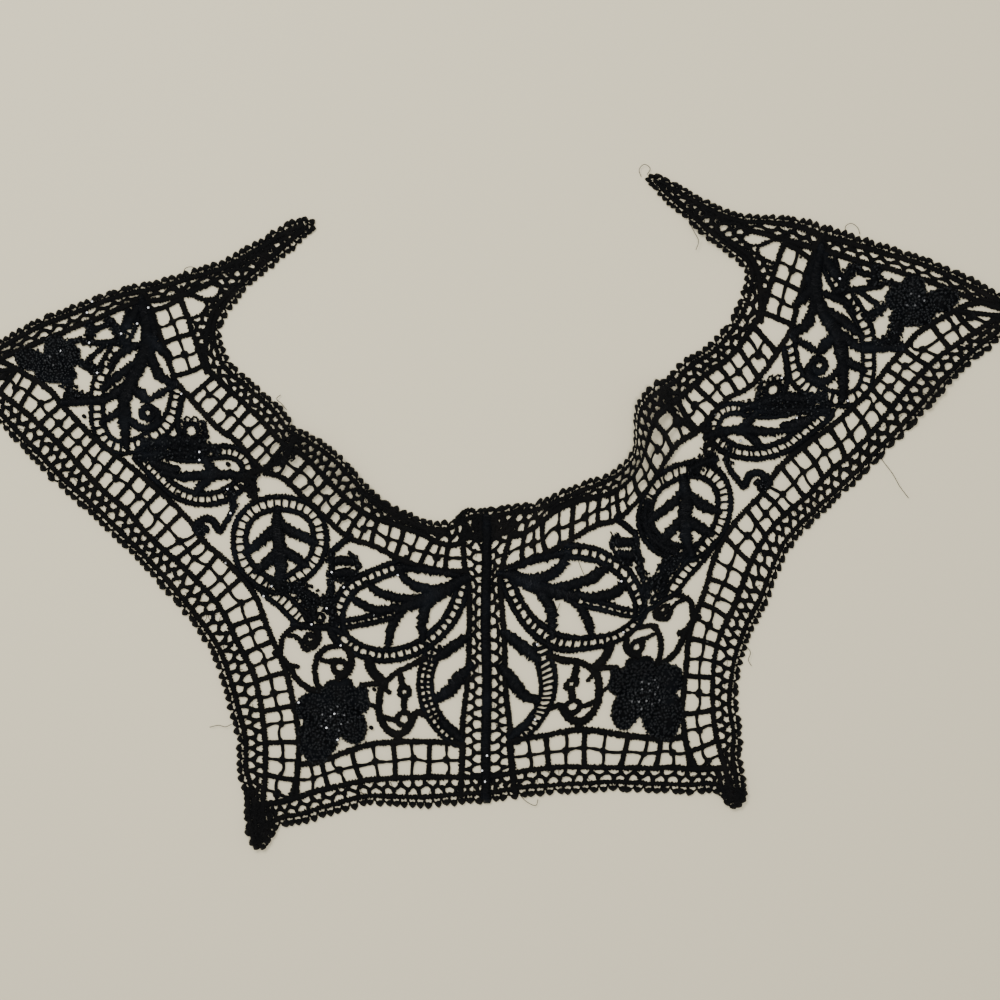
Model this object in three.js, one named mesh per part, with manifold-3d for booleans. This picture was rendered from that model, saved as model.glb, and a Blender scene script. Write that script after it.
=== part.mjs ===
// A beaded collar of black corded lace, laid out flat on the surface it rests on.
// Two mirrored halves meet at a centre placket; the pieces of both are drawn once, for the left half.
// Millimetres, +Z up. +X is to the right and +Y towards the back of the neck.
import * as THREE from 'three';
import { mergeVertices } from 'three/addons/utils/BufferGeometryUtils.js';
import Module from 'manifold-3d';

const wasm = await Module();
wasm.setup();

// Driving sizes
const GAP = 0.4;
const NET_THICKNESS = 1.4;
const TAPE_THICKNESS = 1.8;
const RIDGE_THICKNESS = 2.6;
const CORD_HALF = 0.9;
const WIDE_BAR_HALF = 1.0;
const BAY_LENGTH = 14;
const POINT_SPACING = 10;
const STROKE_SPACING = 12.5;
const RIDGE_HALF = 1.6;

// The drawing starts at the centre of the neck edge; this moves the finished footprint onto the origin.
const FRAME_SHIFT = new THREE.Vector2(-3.2, 1.4);

// Outlines of the left half at the tips of the picots, each row [x, y].
const SHOULDER_EDGE = [
  [-215.5, 55], [-203, 63], [-189.5, 71], [-179, 76.5], [-164.5, 82], [-147, 88.5], [-132.5, 91.5],
  [-119.5, 95.5], [-107.5, 99], [-93.5, 106.5], [-79, 115], [-72, 116.5],
];
const NECK_EDGE = [
  [-69, 115], [-68.5, 112], [-73, 106.5], [-84, 97], [-93.5, 89], [-99, 82.5], [-104.5, 75],
  [-106, 71], [-105, 66], [-102, 58.5], [-95.5, 53], [-89, 47], [-82, 41], [-76, 33], [-71, 30.5],
  [-63, 25.5], [-56.5, 20], [-50, 13], [-42.5, 5], [-35, 0.5], [-27, -3], [-19.5, -5], [-13.5, -4],
  [-7.5, 0], [0, 0.5],
];
const OUTER_EDGE = [
  [-215.5, 55], [-205.5, 44], [-196, 33.5], [-183, 20], [-173.5, 10], [-156, -6], [-136, -26],
  [-127.5, -35.5], [-117.5, -48], [-110.5, -58.5], [-105.5, -73], [-102.5, -85], [-100.5, -93],
  [-100.5, -104], [-98, -113], [-96.5, -129], [-94, -135.5], [-90, -136.5],
];
const HEM_EDGE = [
  [-89, -136], [-85.5, -131], [-78, -128], [-65.5, -124.5], [-53, -121], [-35, -120.5],
  [-23, -119.5], [-9, -119], [0, -118.5],
];

// Cords between the small net of the edgings and the wide net of the bands, each row [x, y].
const SHOULDER_CORD = [
  [-205, 55], [-190, 61.6], [-179, 66.6], [-170.8, 70.4], [-162.8, 74], [-154.8, 77], [-146.8, 80],
  [-138.8, 83], [-130.8, 84.4], [-122.8, 86.4], [-108, 91], [-96, 97], [-84, 104], [-75, 109.5],
];
const STRAP_CORD = [[-72, 112.5], [-80, 106.5], [-92, 98], [-101.5, 88], [-109.5, 78], [-112.5, 65]];
const NECK_CORD = [
  [-111.5, 56], [-107, 51], [-99, 43.5], [-91.5, 36.5], [-81, 25.5], [-73.5, 21], [-65, 12.5],
  [-56.5, 4], [-47.5, -3], [-37, -6.5], [-26, -10.5], [-18.5, -14.5], [-12, -17.5], [-6, -19],
];
const OUTER_CORD = [
  [-205, 55], [-192, 44], [-183, 37], [-169, 23.5], [-154, 7.5], [-143.5, -1.5], [-135, -11.5],
  [-120, -25], [-107, -39.5], [-99, -55], [-93.5, -66], [-90.5, -78], [-89, -89.5], [-88.5, -102.5],
  [-89.5, -119], [-88.5, -132],
];
const HEM_CORD = [
  [-91, -119.5], [-78, -116], [-59, -111], [-49.5, -108.5], [-33.5, -108], [-11, -107.5], [-6, -107.5],
];

// Cords between the wide net and the field of leaves and flowers, each row [x, y].
const NECK_FIELD = [
  [-124.5, 50.5], [-116, 41], [-107, 31.5], [-100.5, 27], [-95, 20.5], [-89, 14.5], [-82.5, 12.5],
  [-73, 4], [-65, -3.5], [-55, -12], [-45.5, -15], [-33.5, -21], [-22, -24.5], [-9.5, -25.5],
];
const OUTER_FIELD = [
  [-202, 55], [-190, 52], [-179.5, 50.5], [-170.5, 41], [-157, 28], [-147.5, 20.5], [-133.5, 9],
  [-118.5, -5.5], [-113.5, -13], [-104, -21.5], [-93, -34.5], [-87.5, -48.5], [-80.5, -65],
  [-77.5, -78], [-75.5, -89], [-75.5, -102], [-76, -118],
];
const HEM_FIELD = [
  [-77, -102.5], [-63.5, -99], [-51, -95], [-35, -93.5], [-23, -93.5], [-8, -94],
];
const STRAP_INNER = [[-137, 86], [-134.5, 79.5], [-129, 64], [-124, 49]];
const STRAP_OUTER = [[-124.5, 88], [-122, 82.5], [-117, 68], [-112, 54]];
const PLACKET_EDGE = [
  [-7.2, 2], [-7.2, -28], [-7.2, -57], [-8, -71], [-9.6, -85], [-10, -101], [-10.4, -120],
];

// Where points of the mirrored left half lie in the right half, which was laid out a little differently.
// Each row is [left x, left y, right x, right y].
const RIGHT_HALF_LANDMARKS = [
  [-68.5, 113, 63.5, 132.5], [-79, 115, 76, 130], [-84, 97, 76.5, 117], [-93.5, 106.5, 89, 123],
  [-119.5, 95.5, 116.5, 117.5], [-132.5, 91.5, 130, 115.5],
  [-147, 88.5, 144, 111], [-179, 76.5, 177, 100], [-215.5, 55, 222, 79], [-195, 34.5, 194.5, 59.5],
  [-172.5, 11, 170.5, 34.5], [-155, -5, 147.5, 11], [-126.5, -34.5, 119.5, -17.5],
  [-112.5, -52, 110, -40], [-103, -79, 101, -64], [-99.5, -93, 99.5, -78.5], [-93, -136, 102, -119],
  [-75.5, -102, 79, -91], [-53, -121, 57.5, -114], [-23, -119.5, 25, -114.5], [-51, -95, 53, -90],
  [-23, -93.5, 23.5, -91], [-77.5, -78, 79.5, -66], [-87.5, -48.5, 87, -33.5],
  [-99, -27, 96, -10.5], [-118.5, -5.5, 114.5, 13], [-140, 15, 137.5, 33], [-164, 34, 160.5, 55.5],
  [-179.5, 50.5, 177, 73], [-124.5, 50.5, 121.5, 70.5], [-110, 36, 107, 51.5], [-95, 21, 91, 39],
  [-82.5, 13, 77, 27], [-55, -12, 52, -4.5], [-33.5, -21, 30, -15], [-9.5, -25.5, 7, -24],
  [-106.5, 72, 103, 94.5], [-102, 58.5, 99, 80], [-95.5, 53, 93.5, 71.5],
  [-93.5, 89, 86.5, 107.5], [-89, 47, 87, 65], [-74, 31, 69, 50.5],
  [-63, 25.5, 59, 42.5], [-50, 13, 57.5, 23], [-35, 0.5, 40.5, 12], [-19.5, -5, 24, 5],
  [-3, 0, 4.5, 0], [0, 0, 0, 0], [0, -57, 0, -57], [0, -118.5, 0, -118.5], [-9.5, -31, 7.5, -28],
  [-59.5, -43, 61, -39], [-45, -27, 44.5, -19], [-38.5, -59, 40.5, -54], [-82.5, -17.5, 79, -5],
  [-61, -84, 63.5, -74], [-58.5, -63.5, 59.5, -55.5], [-71, -53, 70.5, -41], [-33, -85, 34, -80],
  [-11.5, -92.5, 11, -91.5], [-23.5, -69, 23, -70], [-115, 13, 107.5, 31], [-137.5, 82.5, 133, 103],
  [-144, 25, 142, 44], [-175, 59, 173, 83],
];
const LANDMARK_SLACK = 4;

// Places where the laid lace stands off the surface, in the drawing's own millimetres.
const RIPPLES = [
  { x: -76, y: 24, radius: 13, height: 2.5 },
  { x: -56, y: 13, radius: 14, height: 3 },
  { x: 61, y: 38, radius: 12, height: 8 },
  { x: 62, y: 21, radius: 11, height: 4 },
  { x: 86, y: 108, radius: 10, height: 2 },
  { x: -92, y: -134, radius: 8, height: 2.5 },
  { x: 101, y: -117, radius: 8, height: 2 },
  { x: 180, y: 44, radius: 11, height: 2 },
];

// Ladder tapes, satin ribs and lobes of the motifs. Points are [x, y]; half is half the width.
const PALMETTE = {
  tape: {
    half: 2.7,
    points: [
      [-31, -22], [-45.5, -27], [-55.5, -33], [-59.5, -41.5], [-59, -50], [-51.5, -56.5], [-41, -59],
      [-30.5, -57], [-22.5, -52], [-17, -45], [-13, -37], [-9.5, -30],
    ],
  },
  strokes: [
    { half: 2.4, points: [[-37, -42.5], [-31, -40], [-25, -37.5], [-19, -35], [-13, -32], [-8, -28.5]] },
    { half: 1.9, points: [[-33, -22], [-30, -28.5], [-23.5, -31.5], [-14, -31.5]] },
    { half: 2, points: [[-48.5, -29], [-43.5, -33], [-38, -36], [-31, -37.5], [-23, -37]] },
    { half: 1.8, points: [[-56, -35.5], [-50, -39], [-43.5, -41], [-35, -41.5]] },
    { half: 1.3, points: [[-57, -43.5], [-49, -44], [-41, -43.5], [-34, -41.5]] },
    { half: 1.4, points: [[-56, -49], [-49, -47], [-43, -45.5], [-36, -43.5], [-31, -41]] },
    { half: 1.8, points: [[-40.5, -57], [-39, -50], [-36.5, -45.5], [-31, -41]] },
    { half: 2, points: [[-26.5, -54.5], [-25.5, -47], [-24.5, -41.5], [-21, -37.5], [-16, -34]] },
  ],
};
const CRESCENT = {
  tape: {
    half: 2.9,
    points: [
      [-22, -54], [-23.2, -62], [-23.6, -69], [-22.8, -75], [-21.2, -80], [-18.4, -85], [-14.5, -89.5],
      [-9, -94],
    ],
  },
  strokes: [
    { half: 1.7, points: [[-21, -60.5], [-15, -56], [-11, -52], [-6, -48]] },
    { half: 1.8, points: [[-21, -77], [-15, -73], [-11, -68], [-6, -62.5]] },
  ],
};
const ROUND_LEAF = {
  ring: {
    half: 2.9,
    points: [
      [-84, -31.5], [-77.5, -28.8], [-71.6, -24.2], [-68.4, -20], [-66.8, -15.2], [-66.8, -10],
      [-68.4, -4.8], [-72, -0.8], [-77.2, 1.2], [-82.8, 2], [-88.4, 1.6], [-93.6, -0.4], [-97.6, -4.4],
      [-99.2, -10], [-98.8, -16], [-97.5, -21.5], [-94, -26],
    ],
  },
  strokes: [
    { half: 2.3, points: [[-83.5, 0], [-84, -9], [-82.8, -16], [-82.4, -25], [-83.5, -32]] },
    { half: 1.8, points: [[-84, -6], [-87.5, -10.5], [-91.5, -14.5], [-97, -18]] },
    { half: 1.8, points: [[-83, -16], [-87.5, -21.5], [-93, -26]] },
    { half: 1.8, points: [[-83, -5], [-79, -9], [-74.5, -11], [-68, -14]] },
    { half: 1.8, points: [[-82.5, -15.5], [-78, -19], [-71.5, -23.5]] },
    { half: 2.1, points: [[-91.5, -28], [-85.5, -34], [-80.5, -38], [-76, -42.5], [-72, -46]] },
  ],
};
const OVAL_LEAF = {
  ring: {
    half: 2.3,
    points: [
      [-137.5, 20], [-134, 16], [-129.5, 11], [-125, 7], [-119, 4.4], [-113, 3.4], [-107, 4.4],
      [-102, 6.8], [-97.6, 10.4], [-95.4, 15], [-97.6, 20], [-103, 22.4], [-109, 22], [-115.5, 21],
      [-123, 21.4], [-130, 23],
    ],
  },
  strokes: [
    { half: 1.7, points: [[-130, 14], [-121, 12.5], [-111, 13.2], [-101, 13.2], [-92, 12]] },
    { half: 1.7, points: [[-113.5, 20.5], [-110.5, 16], [-106.5, 12.5]] },
    { half: 1.5, points: [[-117, 5], [-113.5, 9.5], [-108.5, 12.5]] },
    { half: 1.7, points: [[-138, 27], [-130, 26], [-121, 27], [-113, 24.5], [-108, 22.5]] },
  ],
};
const WING_LEAF = {
  tape: {
    half: 2.3,
    points: [
      [-141, 79], [-143.6, 71], [-147.2, 65], [-150.4, 59.5], [-153.4, 54], [-155.4, 48], [-155.8, 40],
      [-155.2, 33], [-152, 26.5], [-146, 24.2], [-140, 25.4], [-134, 28.4], [-129, 32], [-125.5, 38],
      [-123.6, 46],
    ],
  },
  strokes: [
    {
      half: 2.3,
      points: [
        [-144, 24], [-144.8, 33], [-144.8, 42.5], [-142.8, 49.5], [-138.8, 57], [-136, 64.5],
        [-135.8, 71], [-137, 77], [-138, 84],
      ],
    },
    { half: 1.6, points: [[-135.5, 66], [-133.5, 58], [-130.5, 52.5], [-124, 49.5]] },
    { half: 1.5, points: [[-136, 68], [-131.5, 63.5], [-126, 59.5]] },
    { half: 1.7, points: [[-136.5, 66.5], [-143, 63.5], [-148.5, 60.5]] },
    { half: 1.7, points: [[-138.5, 59.5], [-143.5, 56], [-149, 51.5], [-154, 48]] },
    { half: 2, points: [[-142, 51], [-147, 48], [-154, 43.5]] },
    { half: 1.3, points: [[-145, 40], [-149.5, 37], [-154.5, 34]] },
    { half: 1.7, points: [[-143.5, 49], [-139, 46], [-135, 42.5]] },
    { half: 1.3, points: [[-144.5, 39], [-142.5, 35], [-139.5, 32.5], [-135.5, 31.8], [-132, 34]] },
    { half: 1, points: [[-136, 42.5], [-130, 46], [-124, 49]] },
  ],
  curls: [{ x: -135.6, y: 38, radius: 3.2, half: 1.2 }],
};
const FLOWER_SCROLLS = {
  strokes: [
    { half: 1.1, points: [[-84, -58], [-82.4, -53], [-80.4, -49], [-76.4, -47], [-69, -46.4]] },
    { half: 1, points: [[-81.5, -50.5], [-78, -49.4], [-75.4, -51.4], [-73.4, -54]] },
    { half: 1.1, points: [[-56.5, -54], [-63, -55.4], [-66.6, -57.6], [-68.6, -61], [-69.2, -65],
      [-68.4, -69], [-66.4, -74]] },
    { half: 1.1, points: [[-67.4, -58.6], [-63.4, -61], [-61, -62.4]] },
    { half: 1, points: [[-57.4, -55.6], [-54.6, -60], [-53.8, -64], [-55.6, -67], [-59, -69.6]] },
    { half: 1.2, points: [[-84, -58], [-81.6, -61.4], [-78.4, -66], [-74.4, -70], [-69.6, -72.4],
      [-66, -74.6]] },
    { half: 1.2, points: [[-82.5, -56], [-75, -57.2], [-67, -58.4]] },
  ],
  curls: [
    { x: -71, y: -52, radius: 3.2, half: 1.2 },
    { x: -58.4, y: -63.6, radius: 3.2, half: 1.3 },
  ],
};
const HEM_SCROLL = {
  strokes: [
    { half: 1.2, points: [[-40, -67], [-41.4, -73], [-42.4, -78], [-42, -83], [-40, -87], [-37.2, -89.4],
      [-34, -91], [-33.6, -94]] },
    { half: 1.7, points: [[-46.5, -57], [-46.6, -64], [-44.6, -67.6], [-40, -69]] },
    { half: 1.1, points: [[-40.5, -68.5], [-35, -64.6], [-30, -61.4], [-22, -57.5]] },
    { half: 1, points: [[-35, -64.5], [-34, -70.5], [-33.4, -74], [-33.2, -81]] },
    { half: 1, points: [[-50, -79], [-46.5, -79.2], [-42, -80.6]] },
    { half: 1, points: [[-31, -83], [-26.4, -81], [-22, -79]] },
    { half: 1, points: [[-37, -87.5], [-35, -86]] },
  ],
  curls: [
    { x: -33.2, y: -84.6, radius: 2.9, half: 1.1 },
    { x: -33.6, y: -73, radius: 2.4, half: 1.1 },
  ],
};
const RUCHED_CURL = {
  strokes: [
    { half: 3, points: [[-60, -27], [-66, -33], [-70.5, -38.5], [-69, -44], [-63, -46], [-59.5, -41]] },
    { half: 2.6, points: [[-62, -36], [-66, -41]] },
    { half: 1.3, points: [[-54, -11], [-60, -15], [-62.6, -21], [-62.6, -27]] },
  ],
  curls: [{ x: -57, y: -21.6, radius: 4.4, half: 1.8 }],
};
const RING_CURL = {
  strokes: [
    { half: 1.2, points: [[-122, 44], [-122.6, 36], [-122.6, 28], [-121, 24]] },
    { half: 1.7, points: [[-128, 27.5], [-121, 29.5], [-115, 28], [-109, 25], [-103, 24.5]] },
  ],
  curls: [{ x: -118, y: 34, radius: 4.2, half: 1.6 }],
};
const SMALL_CURL = {
  strokes: [
    { half: 1.1, points: [[-116, -12], [-113.6, -6], [-110.6, -4], [-107.6, -6], [-105.4, -11]] },
    { half: 1.1, points: [[-101, 5.5], [-103.2, -3.5], [-106.8, -8.5], [-110, -13]] },
    { half: 1.3, points: [[-113.6, -6], [-107.6, -6]] },
  ],
};
const WING_LOBE = {
  strokes: [{ half: 1.9, points: [[-182, 46], [-170, 48.5], [-165, 45.5], [-159, 43], [-152, 42.5]] }],
};
const WING_SPRIGS = {
  strokes: [
    { half: 1.2, points: [[-162, 75], [-159.5, 67], [-158.5, 60.5], [-159, 54]] },
    { half: 1.3, points: [[-168, 60], [-159.5, 58.4], [-152, 56]] },
    { half: 1.4, points: [[-159, 63.5], [-153.5, 68], [-151, 73], [-147, 77]] },
  ],
};
const FLOWER_PETALS = [
  { x: 1.6, y: 10, radius: 5.6 },
  { x: 8, y: 5.6, radius: 5.6 },
  { x: 5.6, y: -4.4, radius: 6.6 },
  { x: -5.8, y: -8, radius: 6.8 },
  { x: -8, y: 3.4, radius: 5.8 },
];
const FRONT_FLOWER = { x: -60.8, y: -84, heart: 5.2, petals: FLOWER_PETALS };
const WING_FLOWER = {
  x: -174.4,
  y: 59.4,
  heart: 4.4,
  petals: [
    { x: -8.6, y: 0.6, radius: 5 },
    { x: 1.6, y: 6.4, radius: 4.8 },
    { x: 8.4, y: 2, radius: 4.4 },
    { x: 5.6, y: -5, radius: 4.8 },
    { x: -3.4, y: -5.4, radius: 4.8 },
  ],
};

// A smooth line through table points, resampled evenly.
function smooth(table, spacing = POINT_SPACING, closed = false) {
  const points = table.map(([x, y]) => new THREE.Vector3(x, y, 0));
  const curve = new THREE.CatmullRomCurve3(points, closed, 'centripetal');
  const count = Math.max(1, Math.round(curve.getLength() / spacing));
  const samples = curve.getSpacedPoints(count);
  if (closed) samples.pop();
  return samples.map((p) => new THREE.Vector2(p.x, p.y));
}

// The point at a share of a line's length.
function pointAt(line, share) {
  const place = share * (line.length - 1);
  const index = Math.min(line.length - 2, Math.floor(place));
  return line[index].clone().lerp(line[index + 1], place - index);
}

// The point of a line that is nearest to a given point.
function nearestOn(line, point) {
  return line.reduce((best, candidate) => (
    candidate.distanceToSquared(point) < best.distanceToSquared(point) ? candidate : best
  ));
}

// A line moved to its left by a distance, or to its right by a negative one.
function sideways(line, distance, closed = false) {
  const last = line.length - 1;
  return line.map((point, i) => {
    const before = line[i > 0 ? i - 1 : closed ? last : 0];
    const after = line[i < last ? i + 1 : closed ? 0 : last];
    const along = after.clone().sub(before).normalize();
    const offset = typeof distance === 'function' ? distance(i / last) : distance;
    return new THREE.Vector2(point.x - along.y * offset, point.y + along.x * offset);
  });
}

// Radial term of a thin plate spline.
function bend(distance) {
  return distance > 0 ? distance * distance * Math.log(distance) : 0;
}

// Solves a square system in place by elimination with row exchange; rows carry their right-hand sides.
function solve(rows) {
  const size = rows.length;
  for (let column = 0; column < size; column += 1) {
    let pivot = column;
    for (let row = column + 1; row < size; row += 1) {
      if (Math.abs(rows[row][column]) > Math.abs(rows[pivot][column])) pivot = row;
    }
    [rows[column], rows[pivot]] = [rows[pivot], rows[column]];
    for (let row = 0; row < size; row += 1) {
      if (row === column) continue;
      const factor = rows[row][column] / rows[column][column];
      for (let k = column; k < rows[row].length; k += 1) rows[row][k] -= factor * rows[column][k];
    }
  }
  return rows.map((row, i) => row.slice(size).map((value) => value / row[i]));
}

// The map from the mirrored left half to the right half as it lies, through the landmarks.
function rightHalfMap(landmarks, slack) {
  const from = landmarks.map(([x, y]) => new THREE.Vector2(-x, y));
  const count = from.length;
  const rows = from.map((a, i) => {
    const terms = from.map((b, j) => bend(a.distanceTo(b)) + (i === j ? slack : 0));
    return [...terms, 1, a.x, a.y, landmarks[i][2], landmarks[i][3]];
  });
  rows.push([...from.map(() => 1), 0, 0, 0, 0, 0]);
  rows.push([...from.map((a) => a.x), 0, 0, 0, 0, 0]);
  rows.push([...from.map((a) => a.y), 0, 0, 0, 0, 0]);
  const weights = solve(rows);
  return (point) => {
    const mirrored = new THREE.Vector2(-point.x, point.y);
    const terms = [...from.map((a) => bend(a.distanceTo(mirrored))), 1, mirrored.x, mirrored.y];
    const sum = (axis) => terms.reduce((total, term, i) => total + term * weights[i][axis], 0);
    return new THREE.Vector2(sum(0), sum(1));
  };
}

const toRightHalf = rightHalfMap(RIGHT_HALF_LANDMARKS, LANDMARK_SLACK);

function lay(side, point) {
  const laid = side === 'right' ? toRightHalf(point) : point.clone();
  return laid.add(FRAME_SHIFT);
}

// Height of the lace above the surface at a place of the finished frame.
function lift(x, y) {
  return RIPPLES.reduce((height, ripple) => {
    const distance = Math.hypot(x - FRAME_SHIFT.x - ripple.x, y - FRAME_SHIFT.y - ripple.y);
    const share = Math.max(0, 1 - distance / (2 * ripple.radius));
    return height + ripple.height * share * share * (3 - 2 * share);
  }, 0);
}

// Closed geometry to a solid: corners are merged and the slivers at a lathe's poles dropped.
function solidOf(geometry) {
  geometry.deleteAttribute('normal');
  geometry.deleteAttribute('uv');
  const merged = mergeVertices(geometry, 1e-4);
  const index = Array.from(merged.index.array);
  const triangles = [];
  for (let i = 0; i < index.length; i += 3) {
    const [a, b, c] = index.slice(i, i + 3);
    if (a !== b && b !== c && c !== a) triangles.push(a, b, c);
  }
  return new wasm.Manifold(new wasm.Mesh({
    numProp: 3,
    vertProperties: new Float32Array(merged.attributes.position.array),
    triVerts: new Uint32Array(triangles),
  }));
}

// A plate over an outline drawn for the left half; without a thickness it is a tall cutter.
function plate(side, outline, thickness = null) {
  const shape = new THREE.Shape(outline.map((point) => lay(side, point)));
  const geometry = new THREE.ExtrudeGeometry(shape, { depth: thickness ?? 12, bevelEnabled: false });
  geometry.translate(0, 0, thickness === null ? -4 : 0);
  return solidOf(geometry);
}

function circle(x, y, radius, count) {
  return Array.from({ length: count }, (_, i) => {
    const angle = (i / count) * Math.PI * 2;
    return new THREE.Vector2(x + radius * Math.cos(angle), y + radius * Math.sin(angle));
  });
}

// A line made longer at both ends.
function extended(line, amount) {
  const last = line.length - 1;
  const reach = (tip, next) => tip.clone().add(tip.clone().sub(next).setLength(amount));
  return [reach(line[0], line[1]), ...line.slice(1, last), reach(line[last], line[last - 1])];
}

// The strip between a line and the line on its left hand, each moved outwards by an extra width.
function strip(side, rightTable, leftTable, grow, rightExtra, leftExtra) {
  const right = extended(sideways(smooth(rightTable), -rightExtra - grow), grow + 0.01);
  const left = extended(sideways(smooth(leftTable), leftExtra + grow), grow + 0.01);
  return plate(side, [...right, ...left.reverse()], grow > 0 ? null : NET_THICKNESS);
}

// A line with width: a cord, rib, lobe or tape. Its ends are blunt points.
function stroke(side, { points, half }, grow) {
  const line = smooth(points, STROKE_SPACING);
  const tips = extended(line, half * 0.7 + grow);
  const width = (share) => (half + grow) * (0.82 + 0.18 * Math.sin(Math.PI * share));
  const left = sideways(line, width);
  const right = sideways(line, (share) => -width(share)).reverse();
  const outline = [tips[0], ...left, tips[tips.length - 1], ...right];
  return plate(side, outline, grow > 0 ? null : TAPE_THICKNESS);
}

function closedTape(side, { points, half }, grow) {
  const line = smooth(points, STROKE_SPACING, true);
  const body = plate(side, sideways(line, -half - grow, true), grow > 0 ? null : TAPE_THICKNESS);
  return body.subtract(plate(side, sideways(line, half + grow, true)));
}

function curl(side, { x, y, radius, half }, grow) {
  const body = plate(side, circle(x, y, radius + half + grow, 7), grow > 0 ? null : TAPE_THICKNESS);
  return grow > 0 ? body : body.subtract(plate(side, circle(x, y, radius - half, 4)));
}

function motif(side, shape, grow) {
  const tapes = shape.tape ? [stroke(side, shape.tape, grow)] : [];
  const rings = shape.ring ? [closedTape(side, shape.ring, grow)] : [];
  const ribs = shape.strokes.map((item) => stroke(side, item, grow));
  const curls = (shape.curls ?? []).map((item) => curl(side, item, grow));
  return wasm.Manifold.union([...tapes, ...rings, ...ribs, ...curls]).simplify(grow > 0 ? 0.15 : 0.25);
}

// Windows of a wide net: one opening for each bay between two lines.
function bayWindows(side, rightTable, leftTable, from, to) {
  const right = smooth(rightTable, 2);
  const left = smooth(leftTable, 0.5);
  const run = right.slice(1).reduce((sum, point, i) => sum + point.distanceTo(right[i]), 0);
  const count = Math.max(1, Math.round((run * (to - from)) / BAY_LENGTH));
  const bar = WIDE_BAR_HALF / run;
  const corner = (share, across) => {
    const point = pointAt(right, share);
    return point.lerp(nearestOn(left, point), across);
  };
  return Array.from({ length: count }, (_, i) => {
    const start = from + ((to - from) * i) / count + bar;
    const end = from + ((to - from) * (i + 1)) / count - bar;
    const outline = [corner(start, 0.2), corner(end, 0.2), corner(end, 0.8), corner(start, 0.8)];
    return plate(side, outline);
  });
}

// Five domed petals round a raised heart.
function flower(side, bloom, grow) {
  const dome = (x, y, radius, rim, top) => {
    const domed = [[0, 0], [radius, 0], [radius, rim], [0, top]];
    const cutter = [[0, -4], [radius + grow, -4], [radius + grow, 8], [0, 8]];
    const profile = grow > 0 ? cutter : domed;
    const geometry = new THREE.LatheGeometry(profile.map(([r, z]) => new THREE.Vector2(r, z)), 6);
    geometry.rotateX(Math.PI / 2);
    const centre = lay(side, new THREE.Vector2(x, y));
    geometry.translate(centre.x, centre.y, 0);
    return solidOf(geometry);
  };
  const petals = bloom.petals.map(({ x, y, radius }) => (
    dome(bloom.x + x, bloom.y + y, radius, 1.2, 2.6)
  ));
  return wasm.Manifold.union([...petals, dome(bloom.x, bloom.y, bloom.heart, 1.8, 3.6)]);
}

function ridge(grow) {
  const outline = [[-1, 1.5], [1, 1.5], [1, -119.5], [-1, -119.5]].map(([direction, y]) => (
    new THREE.Vector2(direction * (RIDGE_HALF + grow), y + Math.sign(y) * grow)
  ));
  return plate('left', outline, grow > 0 ? null : RIDGE_THICKNESS);
}

function placketLadder(side, grow) {
  return strip(side, PLACKET_EDGE, [[0, 0], [0, -60], [0, -117.5]], grow, CORD_HALF, 0);
}

// Bands of wide net with a window in each bay.
function netBand(side, right, left, grow, from, to) {
  const body = strip(side, right, left, grow, CORD_HALF, CORD_HALF);
  if (grow > 0) return body;
  return body.subtract(wasm.Manifold.union(bayWindows(side, right, left, from, to)));
}

function strapWeb(side, grow) {
  const outline = smooth([[-124, 88], [-108, 91], [-96, 96], [-104, 84], [-111, 74], [-112, 62],
    [-113.5, 56], [-117, 66], [-121, 79]], 4, true);
  return plate(side, sideways(outline, -grow, true), grow > 0 ? null : NET_THICKNESS);
}

const CORD_BLACK = { color: '#121418', roughness: 0.82, metalness: 0 };
const SATIN_BLACK = { color: '#15181d', roughness: 0.62, metalness: 0 };
const BEADED_BLACK = { color: '#1a1f27', roughness: 0.34, metalness: 0 };

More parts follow.
